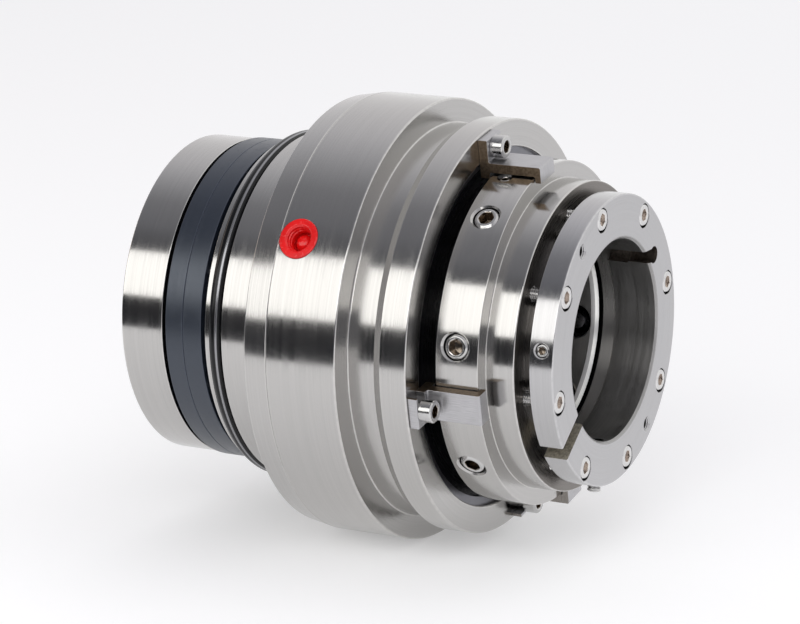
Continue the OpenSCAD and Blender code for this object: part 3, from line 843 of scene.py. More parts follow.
class Surface(Tree):
    """A material's tree with the sockets that finishes read.

    They are the point on the object in metres, how far along the profile it lies in
    millimetres, and the wear mask.
    """

    def __init__(self, tree: bpy.types.NodeTree) -> None:
        """Adds the sockets.

        Args:
            tree: the material's tree.
        """
        super().__init__(tree)
        self.place = self.add("ShaderNodeTexCoord").outputs["Object"]
        turned = self.add("ShaderNodeUVMap", uv_map=LAYER).outputs[0]
        self.travel, self.edge = self.add("ShaderNodeSeparateXYZ", {0: turned}).outputs[:2]

    def use(self, group: Group, **inputs: object) -> Sockets:
        """Places a shared effect with its own values, and gives its outputs."""
        inputs["Place"] = self.place
        return self.add("ShaderNodeGroup", inputs, node_tree=bpy.data.node_groups[group.value]).outputs


def new_group(group: Group, inputs: Sequence[str], outputs: Sequence[str]) -> tuple[Tree, Sockets, Node]:
    """Starts a shader node group that takes the vector Place and some numbers.

    Args:
        group: which effect it is.
        inputs: names of its number inputs.
        outputs: names of its value outputs.

    Returns:
        Its tree, its input sockets and its output node.
    """
    made = bpy.data.node_groups.new(group.value, "ShaderNodeTree")
    for way, labels in (("INPUT", ("Place", *inputs)), ("OUTPUT", outputs)):
        for label in labels:
            kind = "NodeSocketVector" if label == "Place" else "NodeSocketFloat"
            made.interface.new_socket(label, in_out=way, socket_type=kind)
    tree = Tree(made)
    return tree, tree.add("NodeGroupInput").outputs, tree.add("NodeGroupOutput")


def make_groups() -> None:
    """Builds the shared effects once.

    Lathe lines: noise stretched round the axis, so that it changes quickly along the profile and
    slowly with the turn, at a fine, a middle and a wide pitch. Worn edge: the wear mask broken by
    noise. Handling marks: soft clouds and a few faint smears.
    """
    tree, start, end = new_group(
        Group.LATHE_LINES, ["Travel", "Feed", "Broken"], ["Height", "Streak", "Band"]
    )
    split = tree.add("ShaderNodeSeparateXYZ", {0: start["Place"]}).outputs
    around = tree.add("ShaderNodeCombineXYZ", {1: split[1], 2: split[2]}).outputs[0]
    unit = tree.add("ShaderNodeVectorMath", {0: around}, operation="NORMALIZE").outputs[0]
    wide = tree.add("ShaderNodeVectorMath", {0: unit, "Scale": start["Broken"]}, operation="SCALE").outputs[0]
    parts = tree.add("ShaderNodeSeparateXYZ", {0: wide}).outputs
    waves = []
    for share in (1.0, 0.3, 0.05):
        pitch = tree.math("MULTIPLY", tree.math("MULTIPLY", start["Travel"], start["Feed"]), share)
        spot = tree.add("ShaderNodeCombineXYZ", {0: pitch, 1: parts[1], 2: parts[2]}).outputs[0]
        waves.append(tree.noise(spot, 1.0, 2.0, 0.6))
    both = tree.math("ADD", tree.math("MULTIPLY", waves[0], 0.6), tree.math("MULTIPLY", waves[1], 0.4))
    streak, band = (tree.remap(wave, 0.3, 0.7) for wave in waves[1:])
    tree.feed(end, {"Height": both, "Streak": streak, "Band": band})

    tree, start, end = new_group(Group.WORN_EDGE, ["Edge", "Amount"], ["Mask"])
    chips = tree.remap(tree.noise(start["Place"], 420.0, 3.0, 0.6), 0.35, 0.62, 0.45)
    broken = tree.math("MULTIPLY", start["Edge"], chips)
    tree.feed(end, {"Mask": tree.math("MULTIPLY", broken, start["Amount"], clamp=True)})

    tree, start, end = new_group(Group.HANDLING, ["Size"], ["Cloud", "Smear"])
    cloud = tree.noise(start["Place"], start["Size"], 3.0)
    smear = tree.noise(start["Place"], tree.math("MULTIPLY", start["Size"], 4.0), 4.0, swirl=1.5)
    tree.feed(end, {"Cloud": tree.remap(cloud, 0.35, 0.7), "Smear": tree.remap(smear, 0.52, 0.72)})


@dataclass(frozen=True)
class Finish:
    """What every finish shares: a name, a base colour and a roughness."""

    name: str
    colour: Triple
    rough: float

    def shade(self, share: float, most: float = 1.0) -> Triple:
        """The base colour times a share, at most that bright."""
        return tuple(min(v * share, most) for v in self.colour)

    def look(self, tree: Surface) -> Look:
        """Works out the shader's inputs, and the relief's height with its depth in metres."""
        raise NotImplementedError

    def material(self) -> Material:
        """Builds the material.

        Returns:
            The material, its relief fed by a Bump node.
        """
        material = bpy.data.materials.new(self.name)
        material.use_nodes = True
        tree = Surface(material.node_tree)
        inputs, height, depth = self.look(tree)
        relief = {"Height": height, "Distance": depth, "Strength": 1.0}
        inputs["Normal"] = tree.add("ShaderNodeBump", relief).outputs[0]
        tree.feed(tree.tree.nodes["Principled BSDF"], inputs)
        return material


@dataclass(frozen=True)
class TurnedSteel(Finish):
    """Stainless steel from the lathe: fine lines round the axis, handling marks, brighter edges."""

    feed: float = 7.0
    depth: float = 0.5e-6
    broken: float = 0.8
    contrast: float = 0.05
    marks: float = 0.03
    wear: float = 0.6
    grooved: float = 0.7

    def look(self, tree: Surface) -> Look:
        """Colour, roughness and relief follow the lines, whose grooves spread gloss along the axis.

        Args:
            tree: the material's tree.

        Returns:
            The shader's inputs, and the relief's height and depth.
        """
        lines = tree.use(Group.LATHE_LINES, Travel=tree.travel, Feed=self.feed, Broken=self.broken)
        worn = tree.use(Group.WORN_EDGE, Edge=tree.edge, Amount=self.wear)
        hands = tree.use(Group.HANDLING, Size=22.0)
        lit = tree.blend(lines["Streak"], self.shade(1 - self.contrast), self.colour)
        lit = tree.blend(tree.math("MULTIPLY", hands["Cloud"], self.marks * 4), lit, self.shade(0.9))
        lit = tree.blend(worn["Mask"], lit, self.shade(1.35, 0.9))
        rough = tree.math("MULTIPLY_ADD", lines["Streak"], -0.3 * self.rough, self.rough * 1.1)
        rough = tree.math("MULTIPLY_ADD", lines["Band"], 0.2 * self.rough, rough)
        rough = tree.math("MULTIPLY_ADD", hands["Smear"], self.marks, rough)
        turn = tree.add("ShaderNodeTangent", direction_type="RADIAL", axis="X").outputs[0]
        inputs = {"Base Color": lit, "Roughness": rough, "Metallic": 1.0, "Tangent": turn}
        inputs.update({"Anisotropic": self.grooved, "Anisotropic Rotation": 0.25})
        return inputs, lines["Height"], self.depth


@dataclass(frozen=True)
class PolishedSteel(Finish):
    """Bright screws, pins and springs: smooth, with lighter edges, brown sockets and dark tips."""

    inside: Triple = (0.3, 0.24, 0.18)
    tip: Triple = (0.16, 0.16, 0.17)

    def look(self, tree: Surface) -> Look:
        """A wear mask over 1.5 marks a socket, and one over 2.5 a tip.

        Args:
            tree: the material's tree.

        Returns:
            The shader's inputs, and the relief's height and depth.
        """
        socket, tip = (tree.math("GREATER_THAN", tree.edge, mark) for mark in (1.5, 2.5))
        edge = tree.math("MULTIPLY", tree.edge, tree.math("SUBTRACT", 1.0, socket))
        worn = tree.use(Group.WORN_EDGE, Edge=edge, Amount=0.8)
        hands = tree.use(Group.HANDLING, Size=160.0)
        lit = tree.blend(tree.math("MULTIPLY", hands["Cloud"], 0.15), self.colour, self.shade(0.8))
        lit = tree.blend(worn["Mask"], lit, self.shade(1.15, 0.92))
        lit = tree.blend(tip, tree.blend(socket, lit, self.inside), self.tip)
        rough = tree.math("MULTIPLY_ADD", hands["Smear"], 0.15, self.rough)
        return {"Base Color": lit, "Roughness": rough, "Metallic": 1.0}, hands["Smear"], 3e-6


@dataclass(frozen=True)
class LappedFace(Finish):
    """Dark, hard seal face, ground on its rim: fine grain, faint lines round the axis."""

    bend: float = 1.5
    coarse: float = 1.0
    tint: Triple = (0.82, 0.89, 1.0)

    def look(self, tree: Surface) -> Look:
        """A dark base with grain, a satin gloss and paler edges.

        Args:
            tree: the material's tree.

        Returns:
            The shader's inputs, and the relief's height and depth.
        """
        lines = tree.use(Group.LATHE_LINES, Travel=tree.travel, Feed=5.0, Broken=2.0)
        worn = tree.use(Group.WORN_EDGE, Edge=tree.edge, Amount=0.5)
        hands = tree.use(Group.HANDLING, Size=60.0)
        grain = tree.noise(tree.place, 2600.0, 2.0, 0.7)
        lit = tree.blend(tree.remap(grain, 0.35, 0.65), self.shade(0.8), self.shade(1.18))
        lit = tree.blend(tree.math("MULTIPLY", hands["Cloud"], 0.3), lit, self.shade(1.3))
        lit = tree.blend(worn["Mask"], lit, self.shade(2.2))
        rough = tree.math("MULTIPLY_ADD", lines["Streak"], 0.06, self.rough)
        rough = tree.math("MULTIPLY_ADD", hands["Smear"], 0.08, rough)
        inputs = {"Base Color": lit, "Roughness": rough, "IOR": self.bend, "Specular Tint": self.tint}
        return inputs, tree.math("MULTIPLY_ADD", grain, 0.5, lines["Height"]), 2e-6 * self.coarse


@dataclass(frozen=True)
class MouldedRubber(Finish):
    """Black rubber cord: faint dust, a fine skin and a painted highlight, a narrow line made pale and
    metallic.
    """

    bend: float = 1.36
    dust: Triple = (0.02, 0.02, 0.022)
    highlight_line: Triple = (0.33, 0.33, 0.345)

    def look(self, tree: Surface) -> Look:
        """Dust lies in smears, and the wear mask marks the line of painted highlight.

        Args:
            tree: the material's tree.

        Returns:
            The shader's inputs, and the relief's height and depth.
        """
        hands = tree.use(Group.HANDLING, Size=50.0)
        lit = tree.blend(tree.math("MULTIPLY", hands["Smear"], 0.15), self.colour, self.dust)
        # the masked line is pale and metallic: a painted highlight
        lit = tree.blend(tree.edge, lit, self.highlight_line)
        rough = tree.math("MULTIPLY_ADD", hands["Cloud"], 0.06, self.rough)
        inputs = {"Base Color": lit, "Roughness": rough, "IOR": self.bend, "Metallic": tree.edge}
        return inputs, tree.noise(tree.place, 1500.0, 3.0, 0.6), 2e-6


@dataclass(frozen=True)
class MouldedPlastic(Finish):
    """Glossy moulded plastic of the port plugs."""

    scuff: Triple = (0.9, 0.35, 0.33)

    def look(self, tree: Surface) -> Look:
        """Colour a little uneven, soft moulding ripple, a few scuffs.

        Args:
            tree: the material's tree.

        Returns:
            The shader's inputs, and the relief's height and depth.
        """
        hands = tree.use(Group.HANDLING, Size=90.0)
        lit = tree.blend(hands["Cloud"], self.colour, self.shade(0.84))
        lit = tree.blend(tree.math("MULTIPLY", hands["Smear"], 0.06), lit, self.scuff)
        rough = tree.math("MULTIPLY_ADD", hands["Smear"], 0.12, self.rough)
        return {"Base Color": lit, "Roughness": rough}, tree.noise(tree.place, 200.0, 1.0), 1.2e-5


@dataclass(frozen=True)
class SawnSteel(Finish):
    """Flat bar: lines along the bar on its faces, or a browner sawn side with coarse marks."""

    coarse: bool = False

    def look(self, tree: Surface) -> Look:
        """Noise is stretched along the bar, or across it on a sawn side.

        Args:
            tree: the material's tree.

        Returns:
            The shader's inputs, and the relief's height and depth.
        """
        hands = tree.use(Group.HANDLING, Size=70.0)
        along, across, deep, depth = (0.35, 3.0, 0.5, 3e-5) if self.coarse else (0.12, 5.0, 0.75, 8e-6)
        spot = {0: tree.math("MULTIPLY", tree.travel, along), 1: tree.math("MULTIPLY", tree.edge, across)}
        grain = tree.noise(tree.add("ShaderNodeCombineXYZ", spot).outputs[0], 1.0, 3.0, 0.65)
        if self.coarse:
            fine = tree.math("MULTIPLY", tree.noise(tree.place, 900.0, 3.0), 0.6)
            grain = tree.math("ADD", tree.math("MULTIPLY", grain, 0.4), fine)
        lit = tree.blend(tree.remap(grain, 0.35, 0.65), self.shade(deep), self.colour)
        lit = tree.blend(tree.math("MULTIPLY", hands["Cloud"], 0.4), lit, self.shade(0.8))
        rough = tree.math("MULTIPLY_ADD", grain, 0.16, self.rough - 0.05)
        return {"Base Color": lit, "Roughness": rough, "Metallic": 1.0}, grain, depth


@dataclass
class Finishes:
    """The finished materials, one of each."""

    housing: Material
    holder: Material
    sleeve: Material
    bored_and_shaded: Material
    painted_black_shade: Material
    painted_shade_cone: Material
    shaded: Material
    bright: Material
    collar: Material
    ring: Material
    screw: Material
    ring_screw: Material
    pin: Material
    face: Material
    carbon: Material
    rubber: Material
    plastic: Material
    clip: Material
    sawn: Material
    slit: Material
    notch: Material
    dark: Material

    @staticmethod
    def make() -> "Finishes":
        """Builds every material.

        Returns:
            The set.
        """
        steel = (0.508, 0.499, 0.487)
        made = {
            "housing": TurnedSteel("housing steel", steel, 0.17, feed=6.0),
            "holder": TurnedSteel("holder steel", steel, 0.16, feed=5.0),
            "sleeve": TurnedSteel("sleeve steel", steel, 0.17, feed=7.0),
            # bored steel, rougher, its colour darkened as painted shade for the bores and the ring's face in
            # the gap
            "bored_and_shaded": TurnedSteel(
                "bored steel with painted shade", (0.35, 0.345, 0.34), 0.33, feed=3.0, contrast=0.12, marks=0.05
            ),
            # near-black steel: painted shade in the set screw holes, the collar's bore and tapped holes, and
            # the ring's counterbores
            "painted_black_shade": TurnedSteel("painted black shade", (0.02, 0.02, 0.021), 0.3),
            # darker steel: painted shade on the taper inside the collar's recess
            "painted_shade_cone": TurnedSteel("inner taper, painted shade", (0.27, 0.263, 0.255), 0.28),
            "shaded": TurnedSteel("shaded steel", (0.21, 0.195, 0.18), 0.28),
            # near-white steel: a painted highlight on the sleeve's end chamfer
            "bright": TurnedSteel("painted highlight chamfer", (0.95, 0.95, 0.92), 0.3, wear=0.0),
            "collar": TurnedSteel("collar steel", steel, 0.15, feed=9.0),
            "ring": TurnedSteel("ring steel", (0.493, 0.489, 0.494), 0.17, feed=9.0),
            "screw": PolishedSteel("screw steel", (0.52, 0.515, 0.51), 0.16, inside=(0.26, 0.22, 0.18)),
            "ring_screw": PolishedSteel(
                "ring screw steel", (0.64, 0.635, 0.63), 0.2, inside=(0.74, 0.69, 0.65)
            ),
            "pin": PolishedSteel("pin steel", (0.6, 0.6, 0.6), 0.25),
            "face": LappedFace("lapped carbide", (0.01, 0.0135, 0.0225), 0.29, bend=1.81),
            "carbon": LappedFace("bushing carbon", (0.004, 0.0042, 0.005), 0.25, bend=1.18, coarse=0.2),
            "rubber": MouldedRubber("black rubber", (0.003, 0.0033, 0.004), 0.2),
            "plastic": MouldedPlastic("red plastic", (0.76, 0.008, 0.009), 0.2),
            "clip": SawnSteel("clip bar", (0.55, 0.545, 0.56), 0.3),
            "sawn": SawnSteel("sawn side", (0.225, 0.168, 0.115), 0.4, coarse=True),
            # sawn wall, its colour made paler as painted light on the lit slit
            "slit": SawnSteel("slit wall, painted light", (0.66, 0.62, 0.53), 0.55, coarse=True),
            # sawn wall darkened as painted shade in the relief notch
            "notch": SawnSteel("notch wall, painted shade", (0.2, 0.17, 0.145), 0.45, coarse=True),
            "dark": PolishedSteel("spring steel", (0.2, 0.2, 0.22), 0.3),
        }
        return Finishes(**{name: finish.material() for name, finish in made.items()})


@dataclass
class Part:
    """A sub-assembly: its finishes, and then its sizes in millimetres and degrees."""

    looks: Finishes

    def build(self) -> None:
        """Builds every piece of it."""
        raise NotImplementedError


@dataclass
class Housing(Part):
    """The gland housing with its seal ring, port plugs, throttle bushing and retaining ring."""

    lip: float = -32.9
    lip_r: float = 76.6
    groove: Pair = (-30.4, -22.8)
    groove_r: float = 73.1
    cord: float = 7.0
    slack: float = 0.02
    pilot_r: float = 79.5
    barrel_r: float = 100.3
    lead: Pair = (11.6, 98.3)
    neck: Pair = (46.0, 60.2)
    neck_r: float = 89.0
    flange_r: float = 93.4
    face: float = 76.4
    bore_r: float = 81.0
    bushing: Pair = (62.7, 72.2)
    bushing_r: Pair = (49.85, 80.6)
    throat_r: float = 56.0
    chamber: Pair = (-8.0, 58.7)
    chamber_r: float = 70.0
    seat_r: float = 65.7
    seal: Pair = (-19.4, -16.2)
    seal_r: float = 68.2
    inner_ring: Triple = (-17.8, 66.9, 2.56)
    port_x: float = 20.9
    ports: Pair = (59.5, 239.5)
    plug_sink: float = 1.2
    spring_x: float = -36.5
    spring_r: float = 69.4

    def outline(self) -> Profile:
        """Draws the housing's profile.

        Returns:
            It, from the lip along the outside and back through the bore.
        """
        (lead_x, lead_r), (n0, n1), (b0, b1) = self.lead, self.neck, self.bushing
        (g0, g1), (c0, c1), (s0, s1) = self.groove, self.chamber, self.seal
        return Profile([
            (self.lip, self.seat_r, 0.5), (self.lip, self.lip_r, 0.35), (g0, self.lip_r, 0.2),
            (g0, self.groove_r, 0.3), (g1, self.groove_r, 0.3), (g1, self.pilot_r, 0.3),
            (0.0, self.pilot_r, 0.2), (0.0, lead_r, 0.6), (lead_x, self.barrel_r, 0.05),
            (lead_x + 0.35, self.barrel_r - 0.4, 0.05), (lead_x + 0.7, self.barrel_r, 0.05),
            (n0, self.barrel_r, 0.7), (n0, self.neck_r, 0.7), (n1, self.neck_r, 0.5),
            (n1, self.flange_r - 1.8, 0.3), (n1 + 3.8, self.flange_r, 0.25), (self.face, self.flange_r, 0.6),
            (self.face, self.bore_r, 0.6), (b1 + 2.2, self.bore_r), (b1 + 2.2, self.bore_r + 2),
            (b1, self.bore_r + 2), (b1, self.bore_r), (b0, self.bore_r), (b0, self.throat_r),
            (c1, self.throat_r), (c1, self.chamber_r), (c0, self.chamber_r), (c0, self.seat_r),
            (s1, self.seat_r), (s1, self.seal_r), (s0, self.seal_r), (s0, self.seat_r),
        ])

    def shell(self) -> None:
        """Turns the housing and cuts the ports, the spring pockets and the pin holes."""
        b, lip, circle = self.barrel_r, self.lip, self.spring_r
        seat = b - self.plug_sink
        port = [
            (68, 0), (68, 5.5), (b - 13, 5.5), (b - 13, 7.9), (seat, 7.9), (seat, 9.3), (106, 9.3), (106, 0)
        ]
        pocket = [(-8, 0), (-8, 2.3), (-0.3, 2.3), (1, 3.0), (1, 0)]
        pin = [(-6, 0), (-6, 1.85), (1, 1.85), (1, 0)]
        tools = [hole(Placement.radial(self.port_x, 0, angle), port, 96) for angle in self.ports]
        tools += [
            hole(Placement.axial(lip, circle, (k + 0.5) * 45, outwards=-1), pocket, 24) for k in range(8)
        ]
        tools += [hole(Placement.axial(lip, circle, angle, outwards=-1), pin, 24) for angle in (0, 180)]
        mesh = cut(Turning(self.outline()), tools)
        show("housing_shell", mesh, Body.HOUSING, "housing_steel", ["gland_housing"], self.looks.housing)

    def rings(self) -> None:
        """Makes the two rubber rings, the throttle bushing and dresses the small inner pieces."""
        middle = sum(self.groove) / 2
        radius = self.groove_r + self.cord / 2 + self.slack
        # line=70 places the cord's painted highlight line
        cord = Profile.circle(middle, radius, self.cord, 96, line=70.0)
        show_turned(
            "spigot_seal_ring", cord, Body.HOUSING, "black_rubber", "housing_o_ring", self.looks.rubber
        )
        cord = Profile.circle(*self.inner_ring, 20)
        show_turned(
            "stationary_seal_ring", cord, Body.HOUSING, "black_rubber", "stationary_o_ring",
            self.looks.rubber, 160,
        )
        (b0, b1), (r0, r1) = self.bushing, self.bushing_r
        bush = Profile([(b0, r0), (b0, r1), (b1, r1), (b1, r0)], soft=0.6)
        show_turned(
            "throttle_ring", bush, Body.HOUSING, "bushing_carbon", "throttle_bushing", self.looks.carbon
        )
        for node in ("bushing_pin", "anti_turn_pins"):
            dress(node, self.looks.pin)
        dress("retaining_ring", self.looks.dark)

    def springs(self) -> None:
        """Winds the eight face springs.

        The wire's middle runs at (turn radius cos, turn radius sin) of the turn angle and climbs
        evenly; the wire's circle lies in the plane of the axis and the radius.
        """
        wire, length, radius, turns, steps, k = 0.35, 11.6, 1.65, 5, 20, 8
        n = turns * steps + 1
        t = np.linspace(0, 1, n)[:, None]
        a, b = 2 * np.pi * turns * t, 2 * np.pi * np.arange(k) / k
        r, z = radius + wire * np.cos(b), wire + (length - 2 * wire) * t + wire * np.sin(b)
        local = np.stack([r * np.cos(a), r * np.sin(a), z], -1)
        ends = [np.repeat(local[i].mean(0)[None, None], k, 1) for i in (0, -1)]
        local = np.concatenate([ends[0], local, ends[1]])
        travel, wear = np.linspace(0, 60, n + 3), np.zeros(n + 2)
        places = [Placement.axial(self.spring_x, self.spring_r, (i + 0.5) * 45) for i in range(8)]
        skins = [Skin.grid(place.points(local) * MM, False, travel, wear) for place in places]
        coils = Skin.joined(skins).mesh("coils")
        piece = show("spring_coils", coils, Body.HOUSING, "spring_steel", ["face_springs"], self.looks.pin)
        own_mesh(piece)

    def plugs(self) -> None:
        """Moulds the plugs: a flat rim, a ribbed hollow and a domed floor."""
        rows = [
            (-11, 0), (-11, 7.2, 0.6), (-9.8, 7.85, 0.3), (0, 7.85, 0.1), (0, 9.1, 0.1), (1.5, 9.1, 0.5),
            (1.65, 6.3, 0.8), (0.6, 5.4, 0.5), (0.3, 5.75, 0.15), (-0.5, 5.55, 0.15), (-0.8, 5.0, 0.3),
            (-1.1, 5.35, 0.15), (-1.9, 5.1, 0.15), (-2.3, 4.7, 0.3), (-6.8, 4.6, 0.3), (-6.8, 3.9, 0.2),
            (-4.3, 3.7, 1.2), (-2.7, 2.3, 2.2), (-2.2, 0),
        ]
        shape = Profile(rows, closed=False, arc=5)
        seat = self.barrel_r - self.plug_sink
        places = [Placement.radial(self.port_x, seat, angle) for angle in self.ports]
        plugs = Skin.joined([Turning(shape, place, 96).skin() for place in places]).mesh("plugs")
        show("port_plug_pair", plugs, Body.HOUSING, "red_plastic", ["port_plugs"], self.looks.plastic)

    def build(self) -> None:
        """Builds every piece of it."""
        self.shell()
        self.rings()
        self.springs()
        self.plugs()


@dataclass
class SealFaces(Part):
    """The two lapped faces and the holder with its rings and screws."""

    nose: float = -78.5
    nose_r: float = 73.5
    holder: float = -57.1
    seat: float = -62.0
    back: float = -55.0
    seal: float = -46.0
    stat_back: float = -36.5
    tail: float = -15.6
    face_r: float = 74.1
    bore_r: float = 53.5
    hub_r: Pair = (66.0, 65.6)
    tube_r: float = 49.55
    ledge: Pair = (-72.5, 60.05)
    spigot_r: float = 60.5
    groove: Pair = (-70.1, -66.9)
    circle: float = 54.85

    def faces(self) -> None:
        """Turns the holder and the two faces."""
        (rot, stat), (g0, g1), tube, (back, ledge) = self.hub_r, self.groove, self.tube_r, self.ledge
        seal, face, bore, spigot = self.seal, self.face_r, self.bore_r, self.spigot_r
        holder = Profile([
            (self.nose, ledge), (self.nose, self.nose_r, 0.6), (self.holder, self.nose_r, 0.35),
            (self.holder, rot + 0.05, 0.3), (self.seat, rot + 0.05), (self.seat, tube), (g1, tube),
            (g1, tube + 2.2), (g0, tube + 2.2), (g0, tube), (back, tube), (back, ledge),
        ])
        show_turned("nose_holder", holder, Body.ROTOR, "holder_steel", "face_holder", self.looks.holder)
        turning = Profile([
            (self.seat, bore, 0.3), (self.seat, rot, 0.4), (self.back, rot), (self.back, face, 0.35),
            (seal - 0.03, face, 0.4), (seal - 0.03, bore, 0.2),
        ])
        show_turned("face_turning", turning, Body.ROTOR, "face_carbide", "rotating_face", self.looks.face)
        standing = Profile([
            (seal + 1, bore), (seal + 1, spigot), (seal, spigot), (seal, face, 0.4),
            (self.stat_back, face, 0.4), (self.stat_back, stat), (self.tail, stat, 0.5),
            (self.tail, bore, 0.3),
        ])
        show_turned(
            "face_standing", standing, Body.STANDING_FACE, "face_carbide", "stationary_face", self.looks.face
        )

    def rings(self) -> None:
        """Makes the rubber rings that ride on the rotor."""
        for name, node, x, r, d in (
            ("holder_seal_ring", "holder_o_ring", -68.5, 50.625, 2.21),
            ("sleeve_seal_ring", "sleeve_o_ring", -61.49, 46.35, 2.56),
            ("turning_seal_ring", "rotating_o_ring", -56.05, 67.07, 2.06),
        ):
            cord = Profile.circle(x, r, d, 20)
            show_turned(name, cord, Body.ROTOR, "black_rubber", node, self.looks.rubber, 200)

    def screws(self) -> None:
        """Sets the holder screws and dresses the drive pins."""
        screw = Screw(size=4, length=8, head=7.0, head_height=4, key=3, key_depth=2, crown=0.3)
        turns = spins(6, 3)
        places = [Placement.axial(self.nose + 0.2, self.circle, 60 * k, turns[k], -1) for k in range(6)]
        screw.fit("nose_screws", places, "holder_screws", self.looks.screw)
        dress("drive_pins", self.looks.pin)

    def build(self) -> None:
        """Builds every piece of it."""
        self.faces()
        self.rings()
        self.screws()


@dataclass
class Sleeve(Part):
    """The shaft sleeve with the holes that let the set screws reach the shaft."""

    nose: float = -78.5
    end: float = 102.6
    bore_r: float = 45.05
    outer_r: float = 49.5
    groove: Pair = (-63.09, -59.89)
    flange_r: float = 60.0
    circle: float = 54.85
    set_x: float = 91.5
    set_angle: float = 38.5

    def build(self) -> None:
        """Turns the sleeve and cuts its eight large holes and six counterbores."""
        n, e, b, r, (g0, g1) = self.nose, self.end, self.bore_r, self.outer_r, self.groove
        profile = Profile([
            (n, b + 1, 0.2), (n, self.flange_r, 0.4), (n + 6, self.flange_r), (n + 6, r, 0.2),
            (e - 2.6, r, 0.2), (e, r - 2.6, 0.25), (e - 2, b + 0.75, 0.25), (e - 3.2, b, 0.2), (g1, b),
            (g1, b + 2.6), (g0, b + 2.6), (g0, b), (n + 1, b, 0.3),
        ])
        window = [(40, 0), (40, 8.1), (b, 8.1), (b + 0.6, 7.5), (54, 7.5), (54, 0)]
        sink = [(-7, 0), (-7, 2.2), (-4.2, 2.2), (-4.2, 3.7), (-0.3, 3.7), (0.7, 4.7), (0.7, 0)]
        tools = [hole(Placement.radial(self.set_x, 0, self.set_angle + 45 * k), window, 96) for k in range(8)]
        tools += [hole(Placement.axial(n, self.circle, 60 * k, outwards=-1), sink, 48) for k in range(6)]
        mesh = cut(Turning(profile), tools)
        # Painted highlight on the end chamfer, bored steel darkened as painted shade in the bore, and painted
        # black shade in the set screws' holes.
        dress_faces(mesh, 3, (45.9, 47.2), (e - 3.15, e + 0.1))
        dress_faces(mesh, 1, (0.0, 46.7))
        dress_faces(mesh, 2, (45.5, 49.3), (self.set_x - 8.5, self.set_x + 8.5))
        finishes = self.looks.sleeve, self.looks.bored_and_shaded, self.looks.painted_black_shade, self.looks.bright
        show("sleeve_tube", mesh, Body.ROTOR, "sleeve_steel", ["shaft_sleeve"], *finishes)


@dataclass
class DriveCollar(Part):
    """The collar that carries the set screws, and those screws."""

    start: float = 82.1
    bore_r: float = 49.55
    land_r: float = 77.0
    step: float = 102.5
    step_r: float = 69.3
    end: float = 115.8
    set_x: float = 91.5
    set_angle: float = 38.5
    lock_x: float = 89.0
    locks: Pair = (18.2, 198.2)
    circle: float = 58.8

    def body(self) -> None:
        """Turns the collar and cuts its tapped holes."""
        b, r, step = self.bore_r, self.land_r, self.step
        profile = Profile([
            (self.start, b, 0.5), (self.start, r, 0.6), (step, r, 0.3), (step, self.step_r, 0.35),
            (self.end, self.step_r, 0.6), (self.end, 50.51, 0.2), (step + 2, 47.4), (step + 1.5, 47.4),
            (step + 1.5, b),
        ])
        tapped = [(44, 0), (44, 6.05), (r - 0.95, 6.05), (r, 7.0), (r + 3, 7.2), (r + 3, 0)]
        lock = [(46, 0), (46, 2.55), (r - 1.1, 2.55), (r, 3.6), (r + 3, 3.8), (r + 3, 0)]
        clamp = [(-12.5, 0), (-12.5, 3.05), (-0.5, 3.05), (0.5, 4.05), (0.5, 0)]
        tools = [hole(Placement.radial(self.set_x, 0, self.set_angle + 45 * k), tapped, 96) for k in range(8)]
        tools += [hole(Placement.radial(self.lock_x, 0, angle), lock, 64) for angle in self.locks]
        tools += [hole(Placement.axial(self.end, self.circle, 15 + 45 * k), clamp, 48) for k in range(8)]
        mesh = cut(Turning(profile), tools)
        # Painted black shade in the collar's bore and tapped holes, painted shade on the inner taper, and the
        # darker shaded steel on the end face in the gap.
        dress_faces(mesh, 1, (0.0, 49.9), (0.0, 104.3))
        dress_faces(mesh, 2, (0.0, 50.6), (104.3, 120.0))
        dress_faces(mesh, 3, (51.0, 68.9), (self.end - 0.05, self.end + 0.1))
        dress_faces(mesh, 1, (51.0, r - 1.0), (self.start + 0.1, step - 0.4))
        finishes = self.looks.collar, self.looks.painted_black_shade, self.looks.painted_shade_cone, self.looks.shaded
        show("collar_body", mesh, Body.ROTOR, "collar_steel", ["drive_collar"], *finishes)

    def screws(self) -> None:
        """Sets the eight set screws and the two lock screws."""
        cut_thread = {"pitch": 1.75, "thread": (-2.5, -20)}
        big = Screw(
            size=12, length=29.3, key=6.2, key_depth=5.5, crown=1.35, cup=True, steps=60, **cut_thread
        )
        turns = spins(8, 11)
        places = [Placement.radial(self.set_x, 76.5, self.set_angle + 45 * k, turns[k]) for k in range(8)]
        big.fit("drive_screws", places, "set_screws", self.looks.screw)
        small = Screw(size=5, length=26.8, key=2.5, key_depth=3, crown=0.45, cup=True, steps=36)
        places = [Placement.radial(self.lock_x, 76.4, self.locks[k], 20 * k) for k in range(2)]
        small.fit("collar_lock_screws", places, "lock_screws", self.looks.screw)

    def build(self) -> None:
        """Builds every piece of it."""
        self.body()
        self.screws()


